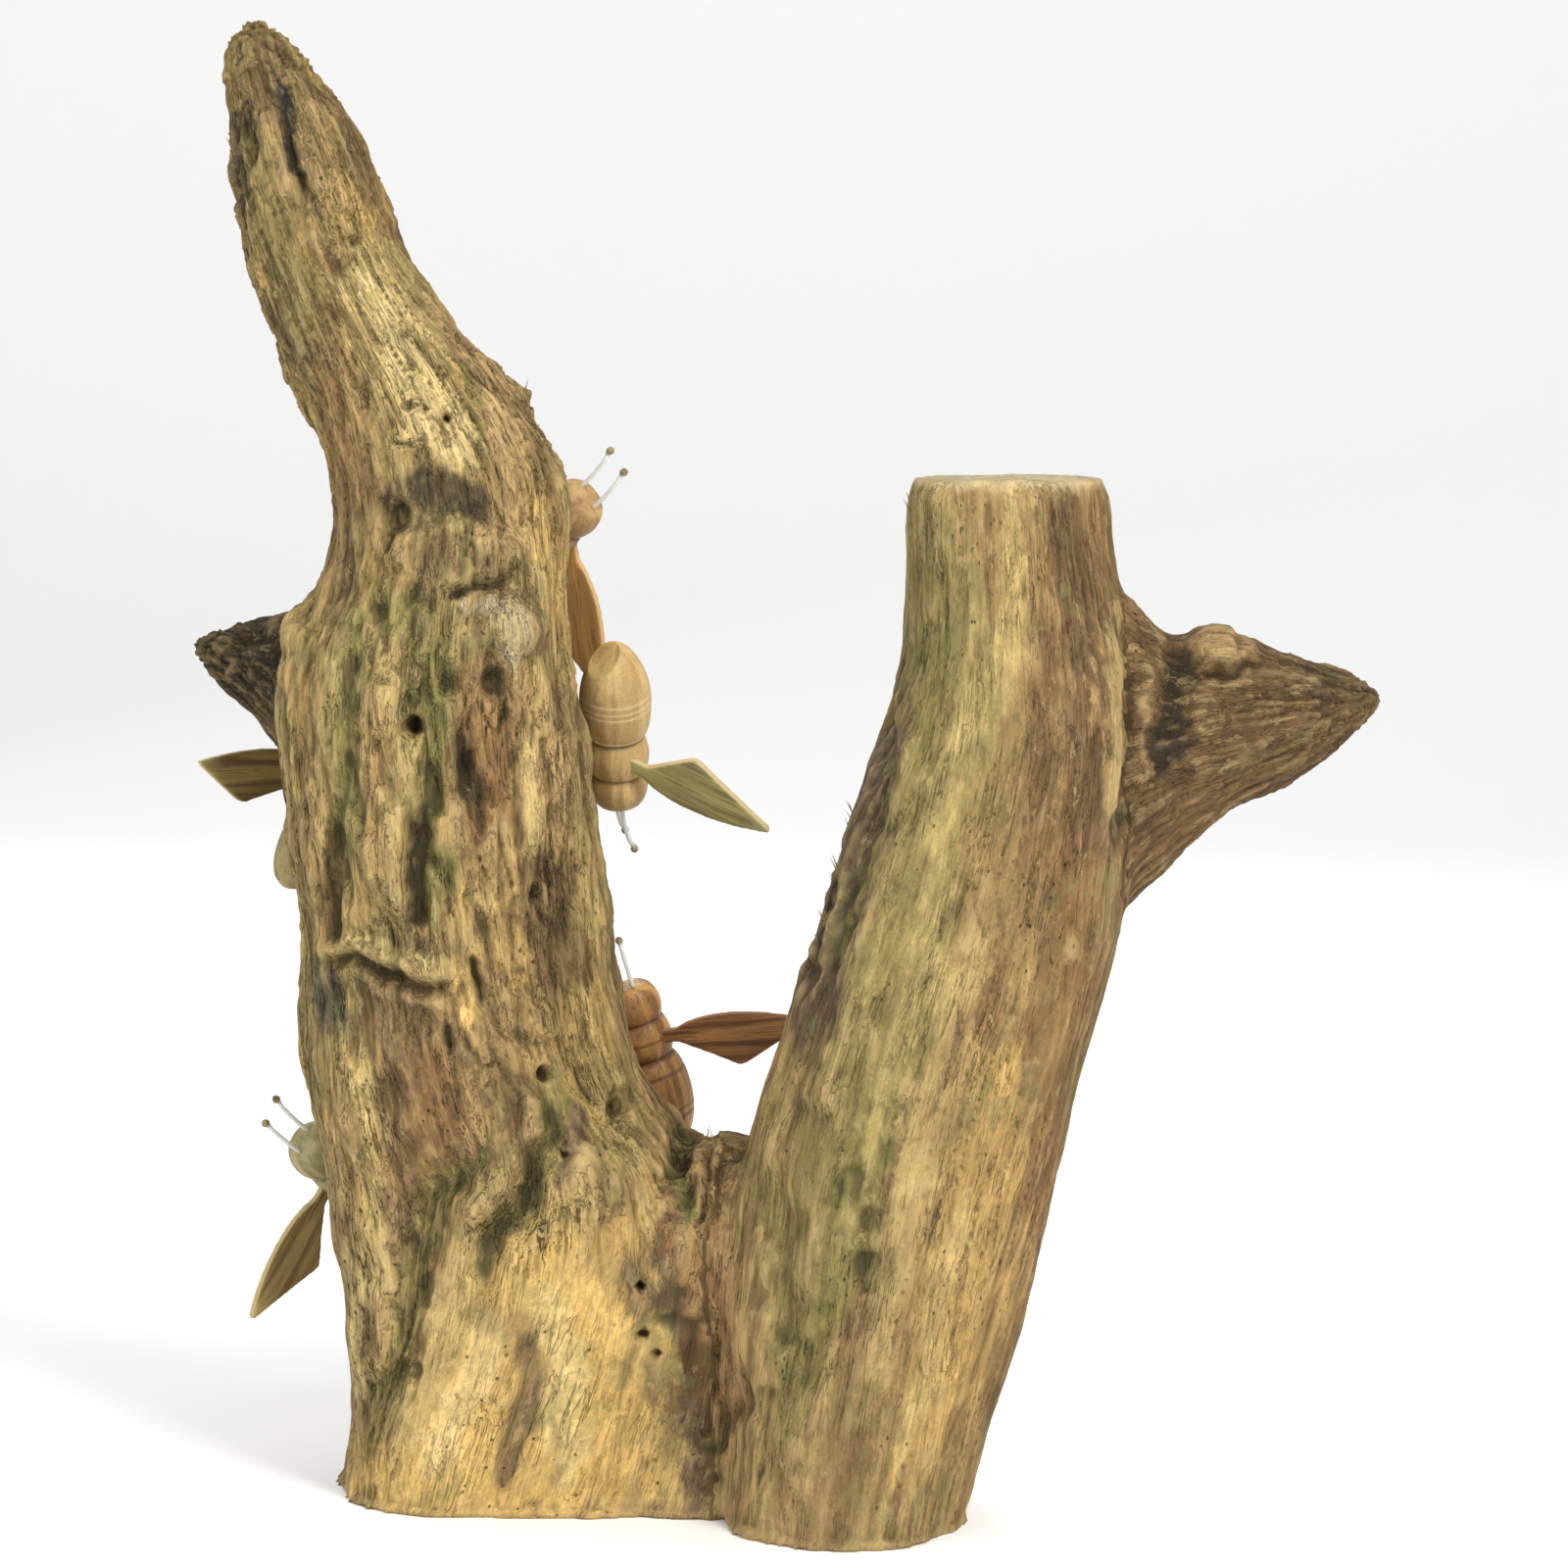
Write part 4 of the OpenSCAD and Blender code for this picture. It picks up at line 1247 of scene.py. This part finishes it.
# %% Turned wood's material
def turned_wood(name, light, dark, green, ring_shade, streaky):
    """Dowel wood: streaks along its axis, tool marks round it."""
    n = Nodes(name)
    streak = n.noise(190, 16, 4, 0.55, 0.6)
    vessel = n.noise(1500, 60, 3, 0.6)
    grown = n.noise(75, 9, 2, 0.5, 1.2)
    colour = n.mix(n.between(streak, 0.36, 0.66), light, dark)
    colour = n.mix(n.between(grown, 0.44, 0.62, 0, 0.55), colour, green)
    dash = n.between(vessel, 0.6, 0.68, 0, streaky)
    colour = n.mix(dash, colour, tuple(c * 0.28 for c in dark))
    speck = n.noise(1300, 1100, 4, 0.7)
    colour = n.shade(colour, 0.88, 1.1, speck)
    colour = n.mix(n.times(n.attribute("ring"), 0.75), colour, ring_shade)
    # Painted shade in the pinches at the waist and neck
    colour = n.mix(n.times(n.attribute("hollow"), 0.7), colour, tuple(c * 0.3 for c in dark))
    turning = n.noise(60, 2600, 2)
    normal = n.bump(n.math("MULTIPLY_ADD", vessel, 0.6, n.times(turning, 0.4)), 0.25 * MM)
    n.shader.inputs["Specular IOR Level"].default_value = 0.4
    return n.finish(colour, n.between(streak, 0.3, 0.7, 0.5, 0.62), normal)


FINISHES = {
    "high": turned_wood(
        "amber_turned_wood", (0.48, 0.31, 0.125), (0.29, 0.165, 0.06),
        (0.38, 0.235, 0.095), (0.2, 0.11, 0.05), 0.4,
    ),
    "side": turned_wood(
        "pale_turned_wood", (0.60, 0.42, 0.175), (0.40, 0.25, 0.09),
        (0.47, 0.33, 0.13), (0.80, 0.64, 0.38), 0.35,
    ),
    "fork": turned_wood(
        "tan_turned_wood", (0.52, 0.285, 0.090), (0.21, 0.095, 0.028),
        (0.37, 0.19, 0.062), (0.08, 0.03, 0.012), 0.9,
    ),
    "left": turned_wood(
        "greened_turned_wood", (0.33, 0.25, 0.09), (0.19, 0.125, 0.04),
        (0.20, 0.18, 0.05), (0.14, 0.09, 0.03), 0.4,
    ),
    "low": turned_wood(
        "olive_turned_wood", (0.36, 0.31, 0.14), (0.22, 0.175, 0.07),
        (0.22, 0.22, 0.09), (0.14, 0.1, 0.05), 0.4,
    ),
}
# Rings cut on the lathe: place from the tail, half width and depth, in millimetres
RINGS = {
    "side": [(19.0, 0.22, 0.14), (21.6, 0.22, 0.14), (24.0, 0.22, 0.14), (34.6, 0.5, 0.25)],
    "fork": [(14.0, 0.5, 0.35), (17.0, 0.35, 0.25), (30.0, 0.5, 0.3), (43.0, 0.4, 0.3)],
    "high": [(35.0, 0.5, 0.2)],
    "left": [(16.0, 0.3, 0.12), (35.0, 0.5, 0.2)],
    "low": [(20.0, 0.3, 0.12), (35.0, 0.5, 0.2)],
}
# Facets left by a chisel: which way each faces in the model's axes, how many millimetres from
# the lobe's middle it lies, and the end of the body that it is on
FACETS = {
    "side": [((-0.50, -0.72, 0.48), 10.4, "tail")],
    "high": [((0.25, -0.75, 0.60), 9.2, "head")],
    "fork": [((0.6, -0.75, 0.10), 9.6, "head")],
    "left": [((-0.6, -0.6, -0.5), 12.6, "tail")],
    "low": [((-0.2, -0.72, 0.62), 9.2, "head")],
}
print("finishes", len(FINISHES))


# %% Turn the bodies
def put_in_place(obj, place):
    """Moves a piece made at the origin to a bee's place, in its mesh."""
    spots = points_of(obj)
    store(obj, "grain", spots, "FLOAT_VECTOR")
    obj.data.transform(place)
    obj.data.update()


def outward(obj):
    """Makes every face point out."""
    shell = bmesh.new()
    shell.from_mesh(obj.data)
    bmesh.ops.recalc_face_normals(shell, faces=shell.faces)
    shell.to_mesh(obj.data)
    shell.free()


# The middle of the head from the face, and of the abdomen from the tail, in millimetres
HEAD_MIDDLE, ABDOMEN_MIDDLE = 6.0, 15.0


def turned_body(bee, seed):
    """One bee's body, from tail to face."""
    place, size = SEATS[bee]
    long_mm = size[2] / MM
    outline = curve_object("outline", body_outline(long_mm, RINGS[bee]))
    body = LATHE.grown(f"turned_body_{bee}", {"Outline": outline, "Material": FINISHES[bee]})
    bpy.data.objects.remove(outline)
    outward(body)
    spots = points_of(body)
    mm = spots / MM
    for way, reach, end in FACETS[bee]:
        way = np.array((place.to_3x3().inverted() @ Vector(way)).normalized())
        base = np.array([0, 0, long_mm - HEAD_MIDDLE if end == "head" else ABDOMEN_MIDDLE])
        own = mm[:, 2] > NECK * long_mm if end == "head" else mm[:, 2] < WAIST * long_mm
        mm -= (np.clip((mm - base) @ way - reach, 0, None) * own)[:, None] * way
    wobble = 0.12 * layered(mm / 7 + seed, 300 + seed, 2)
    radial = np.concatenate([mm[:, :2], np.zeros((len(mm), 1))], axis=1)
    mm += radial / np.linalg.norm(radial, axis=1, keepdims=True).clip(0.5) * wobble[:, None]
    move_points(body, mm * MM)
    height = mm[:, 2]
    ring = sum(bell(height - at, half * 1.3) for at, half, _ in RINGS[bee])
    store(body, "ring", np.clip(ring, 0, 1))
    # Where the body pinches at the waist and neck; the material darkens it there as painted shade
    groove = sum(bell(height - at * long_mm, 0.9) for at in (WAIST, NECK))
    store(body, "hollow", np.clip(groove, 0, 1))
    put_in_place(body, place)
    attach(body, "root")
    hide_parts(f"bee_{bee}_body")
    return body


bodies = {bee: turned_body(bee, i) for i, bee in enumerate(BEE_NAMES)}
print("body points", {bee: len(b.data.vertices) for bee, b in bodies.items()})

# %% [markdown]
# ## Wings, sawn from thin board
#
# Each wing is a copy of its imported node, so that its tab stays in its slot. A fine remesh with
# a few rounds of averaging rubs the sawn corners round, as sandpaper does. The broad faces show
# lengthwise grain and the edges stay paler, where the saw has just been.


# %% Wing wood
def wing_wood(name, face, streak_shade, edge_shade, tip_shade):
    """Thin board: dark lengthwise streaks, pale sawn edges."""
    n = Nodes(name)
    streak = n.noise(330, 16, 4, 0.55, 0.5)
    fine = n.noise(1300, 55, 3, 0.6)
    patch = n.noise(90, 30, 3, 0.6)
    colour = n.mix(n.between(streak, 0.40, 0.66), face, streak_shade)
    colour = n.mix(n.between(fine, 0.56, 0.66, 0, 0.6), colour, tuple(c * 0.45 for c in streak_shade))
    colour = n.shade(colour, 0.82, 1.16, patch)
    colour = n.mix(n.times(n.attribute("tip"), 0.7), colour, tip_shade)
    edge = n.times(n.attribute("edge"), n.between(fine, 0.3, 0.6, 0.8, 1.0), clamp=True)
    colour = n.mix(edge, colour, edge_shade)
    normal = n.bump(n.math("MULTIPLY_ADD", fine, 0.6, n.times(streak, 0.4)), 0.45 * MM)
    return n.finish(colour, n.between(streak, 0.3, 0.7, 0.75, 0.6), normal)


WING_FINISHES = {
    "high": wing_wood(
        "amber_wing_wood", (0.46, 0.25, 0.075), (0.30, 0.14, 0.04),
        (0.58, 0.38, 0.16), (0.5, 0.32, 0.12),
    ),
    "side": wing_wood(
        "greened_wing_wood", (0.30, 0.265, 0.09), (0.155, 0.11, 0.035),
        (0.56, 0.42, 0.22), (0.33, 0.32, 0.13),
    ),
    "fork": wing_wood(
        "tan_wing_wood", (0.40, 0.195, 0.062), (0.13, 0.052, 0.018),
        (0.33, 0.17, 0.065), (0.2, 0.09, 0.04),
    ),
    "left": wing_wood(
        "olive_wing_wood", (0.25, 0.18, 0.045), (0.10, 0.058, 0.018),
        (0.40, 0.31, 0.12), (0.25, 0.195, 0.055),
    ),
    "low": wing_wood(
        "straw_wing_wood", (0.33, 0.235, 0.08), (0.165, 0.10, 0.032),
        (0.47, 0.34, 0.14), (0.5, 0.39, 0.16),
    ),
}


# %% Sand the wings
def sanded_wing(bee, side):
    """One wing, from its tab in the body to its tip."""
    place, _ = SEATS[bee]
    node = f"bee_{bee}_{side}_wing"
    wing = remeshed_copy(node, f"sanded_wing_{bee}_{side}", 0.55 * MM)
    edges = edges_of(wing)
    spots = averaged(points_of(wing), edges, 7)
    root = place.translation + place.to_3x3() @ Vector((0, 0, (WAIST + NECK) / 2 * SEATS[bee][1][2]))
    middle = (spots.min(0) + spots.max(0)) / 2
    spread = spots - spots.mean(0)
    thin, across, along = np.linalg.eigh(spread.T @ spread)[1].T
    if (middle - np.array(root)) @ along < 0:
        along = -along
    local = np.stack([spread @ across, spread @ thin, spread @ along], axis=1)
    length = np.ptp(local[:, 2])
    share = (local[:, 2] - local[:, 2].min()) / length
    cup = -0.5 * MM * ((local[:, 0] / (8 * MM)) ** 2 - 0.4) * smoothstep(0.2, 0.5, share)
    ripple = 0.12 * MM * noise(local / MM / np.array([3, 8, 22]), 500)
    spots = spots + thin * (cup + ripple)[:, None]
    move_points(wing, spots)
    facing = np.abs(normals_of(wing) @ thin)
    store(wing, "edge", 1 - smoothstep(0.55, 0.93, facing))
    store(wing, "tip", smoothstep(0.82, 0.97, share))
    store(wing, "grain", local + 0.1 * len(node) * MM, "FLOAT_VECTOR")
    wing.data.materials.clear()
    wing.data.materials.append(WING_FINISHES[bee])
    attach(wing, "root")
    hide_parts(node)
    return wing


wings = [sanded_wing(bee, side) for bee in BEE_NAMES for side in ("left", "right")]
print("wings", len(wings), "points each about", len(wings[0].data.vertices))

# %% [markdown]
# ## Antennae, cut from clear line
#
# A hot tip was held to each end, so the clear line ends in a small brownish bead. Geometry
# Nodes sweep a circle along each antenna's own path and swell it towards the tip.


# %% Clear line
def clear_line():
    """Milky clear line with a melted, olive-brown tip."""
    n = Nodes("clear_line")
    tip = n.attribute("tip")
    cloud = n.noise(900, 900, 3)
    colour = n.mix(n.between(tip, 0.80, 0.93), (0.90, 0.91, 0.87), (0.30, 0.24, 0.11))
    burnt = n.times(n.between(tip, 0.9, 0.98), n.between(cloud, 0.45, 0.6))
    colour = n.mix(burnt, colour, (0.09, 0.065, 0.03))
    n.shader.inputs["IOR"].default_value = 1.45
    n.put(n.between(tip, 0.8, 0.95, 0.35, 0.0), n.shader.inputs["Transmission Weight"])
    normal = n.bump(cloud, 0.1 * MM)
    return n.finish(colour, n.between(tip, 0.7, 1.0, 0.28, 0.5), normal)


CLEAR_LINE = clear_line()
# Shares of an antenna's length: where it starts to swell, where the bead is full, the bead's end
SWELL_FROM, BEAD_FROM, BEAD_SHARE = 0.85, 0.925, 0.075


def line_tree():
    """Sweeps a circle along a path and swells its last part to a bead."""
    t = Tree("melted line", [
        ("Path", "NodeSocketObject", None), ("Radius", "NodeSocketFloat", 0.0008),
        ("Bead", "NodeSocketFloat", 1.8), ("Material", "NodeSocketMaterial", None),
    ])
    path = t.add("GeometryNodeObjectInfo", {"Object": t.given("Path")})
    even = t.add("GeometryNodeResampleCurve", {"Curve": path.outputs["Geometry"], "Count": 72})
    factor = t.add("GeometryNodeSplineParameter").outputs["Factor"]
    inputs = {"Value": factor, "From Min": SWELL_FROM, "From Max": BEAD_FROM}
    swell = t.add("ShaderNodeMapRange", inputs, interpolation_type="SMOOTHSTEP").outputs["Result"]
    past = t.math("DIVIDE", t.math("SUBTRACT", factor, BEAD_FROM), BEAD_SHARE)
    fall = t.math("POWER", t.math("MAXIMUM", past, 0.0), 2.0)
    round_off = t.math("SQRT", t.math("MAXIMUM", t.math("SUBTRACT", 1.0, fall), 0.0))
    extra = t.times(t.math("SUBTRACT", t.given("Bead"), 1.0), swell)
    thick = t.times(t.times(t.math("ADD", extra, 1.0), round_off), t.given("Radius"))
    inputs = {"Geometry": even.outputs[0], "Name": "tip", "Value": factor}
    named = t.add("GeometryNodeStoreNamedAttribute", inputs, data_type="FLOAT", domain="POINT")
    inputs = {"Resolution": 16, "Radius": 1.0}
    circle = t.add("GeometryNodeCurvePrimitiveCircle", inputs, mode="RADIUS")
    sweep = t.add("GeometryNodeCurveToMesh", {
        "Curve": named.outputs[0], "Profile Curve": circle.outputs[0], "Scale": thick,
        "Fill Caps": True,
    })
    closed = t.add("GeometryNodeMergeByDistance", {"Geometry": sweep.outputs[0], "Distance": SAME_POINT})
    t.out(closed.outputs[0])
    return t


LINE = line_tree()
# How much thicker the bead is than the line
BEADS = {"high": 1.75, "side": 1.7, "fork": 1.7, "left": 1.6, "low": 1.85}


def melted_antenna(bee, side):
    """One antenna, from inside the head to its bead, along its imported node."""
    node = f"bee_{bee}_{side}_antenna"
    place, _ = SEATS[bee]
    local = np.array([place.inverted() @ Vector(c) for c in corners(node)])
    heights = local[:, 2]
    path = []
    for z in np.linspace(heights.min() + 0.3 * MM, heights.max() - 0.6 * MM, 10):
        near = local[np.abs(heights - z) < 2.4 * MM]
        path.append([*((near[:, axis].min() + near[:, axis].max()) / 2 for axis in (0, 1)), z])
    way = curve_object("path", path)
    radius = np.ptp(local[heights < heights.min() + 3 * MM][:, 0]) / 2
    antenna = LINE.grown(f"melted_antenna_{bee}_{side}", {
        "Path": way, "Radius": float(radius), "Bead": BEADS[bee], "Material": CLEAR_LINE,
    })
    bpy.data.objects.remove(way)
    outward(antenna)
    put_in_place(antenna, place)
    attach(antenna, "root")
    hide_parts(node)
    return antenna


antennae = [melted_antenna(bee, side) for bee in BEE_NAMES for side in ("left", "right")]
print("antennae", len(antennae), "points each", len(antennae[0].data.vertices))

# %% [markdown]
# ## Splinters
#
# Where bark tore away and where the saw came out, thin fibres stand up. There are too many to
# place by hand, so Geometry Nodes scatter them: points are strewn over the log where it is
# marked as frayed, and a sliver is set on each, leaning a little out from the grain.


# %% Mark the frayed edges
FRAYED = {
    "torn flank": ([(68, 246), (60, 214), (54, 186)], 3.5),
    "sawn top, left": ([(86, 345), (87, 330)], 3.0),
    "sawn top, right": ([(146, 344), (150, 334)], 3.0),
    "horn bark": ([(-138, 466), (-138, 448), (-132, 430)], 4.0),
    "shoulder bark": ([(-48, 386), (-38, 366)], 3.0),
    "web": ([(20, 124), (14, 118)], 3.0),
}
spots = drawn_mm(points_of(log))
fray = sum(bell(beside(line, spots[:, [0, 2]]), width) for line, width in FRAYED.values())
store(log, "fray", np.clip(fray, 0, 1))
print("frayed points", int((fray > 0.5).sum()))


# %% Scatter the splinters
def splinter_tree():
    """Slivers on the marked parts of an object."""
    t = Tree("splinters", [
        ("Log", "NodeSocketObject", None), ("Density", "NodeSocketFloat", 14000.0),
        ("Length", "NodeSocketFloat", 0.005), ("Lean", "NodeSocketFloat", 0.45),
        ("Seed", "NodeSocketInt", 3), ("Material", "NodeSocketMaterial", None),
    ])
    wood = t.add("GeometryNodeObjectInfo", {"Object": t.given("Log")})
    marked = t.add("GeometryNodeInputNamedAttribute", {"Name": "fray"}, data_type="FLOAT")
    share = t.math("POWER", marked.outputs[0], 3.0)
    strewn = t.add("GeometryNodeDistributePointsOnFaces", {
        "Mesh": wood.outputs["Geometry"], "Seed": t.given("Seed"),
        "Density": t.times(share, t.given("Density")),
    })
    inputs = {0: strewn.outputs["Normal"], "Scale": t.given("Lean")}
    out = t.add("ShaderNodeVectorMath", inputs, operation="SCALE")
    inputs = {0: (-0.25, -0.25, 0.75), 1: (0.25, 0.25, 1.0), "Seed": t.given("Seed")}
    stray = t.add("FunctionNodeRandomValue", inputs, data_type="FLOAT_VECTOR")
    inputs = {0: out.outputs[0], 1: stray.outputs[0]}
    way = t.add("ShaderNodeVectorMath", inputs, operation="ADD")
    turn = t.add("FunctionNodeAlignRotationToVector", {"Vector": way.outputs[0]}, axis="Z")
    sliver = t.add("GeometryNodeMeshCone", {
        "Vertices": 4, "Radius Top": 0.00003, "Radius Bottom": 0.00028, "Depth": t.given("Length"),
    })
    size = t.add("FunctionNodeRandomValue", {2: 0.35, 3: 1.2, "Seed": 9}, data_type="FLOAT")
    stuck = t.add("GeometryNodeInstanceOnPoints", {
        "Points": strewn.outputs["Points"], "Instance": sliver.outputs["Mesh"],
        "Rotation": turn.outputs[0], "Scale": size.outputs[1],
    })
    t.out(stuck.outputs[0])
    return t


def sliver_wood():
    """Torn fibres, mottled from dark to pale brown."""
    n = Nodes("sliver_wood")
    cloud = n.noise(500, 300, 3, vector=n.object_place())
    colour = n.mix(n.between(cloud, 0.35, 0.65), (0.20, 0.12, 0.05), (0.42, 0.30, 0.14))
    return n.finish(colour, 0.85)


splinters = splinter_tree().grown("splinters", {"Log": log, "Material": sliver_wood()})
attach(splinters, "root")
print("splinter faces", len(splinters.data.polygons))

# %% [markdown]
# ## Pegs
#
# A peg of dowel joins each bee to the log. Little of it shows, in the shade between the two, so
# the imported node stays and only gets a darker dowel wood.


# %% Peg wood
def peg_wood():
    """Plain dowel, darkened by weather."""
    n = Nodes("peg_wood")
    streak = n.noise(700, 300, 4, 0.6, vector=n.object_place())
    colour = n.mix(n.between(streak, 0.35, 0.65), (0.36, 0.22, 0.10), (0.18, 0.10, 0.045))
    return n.finish(colour, 0.7, n.bump(streak, 0.3 * MM))


PEG_WOOD = peg_wood()
for bee in BEE_NAMES:
    peg = nodes[f"bee_{bee}_peg"]
    peg.data.materials.clear()
    peg.data.materials.append(PEG_WOOD)
print("pegs", len(BEE_NAMES))
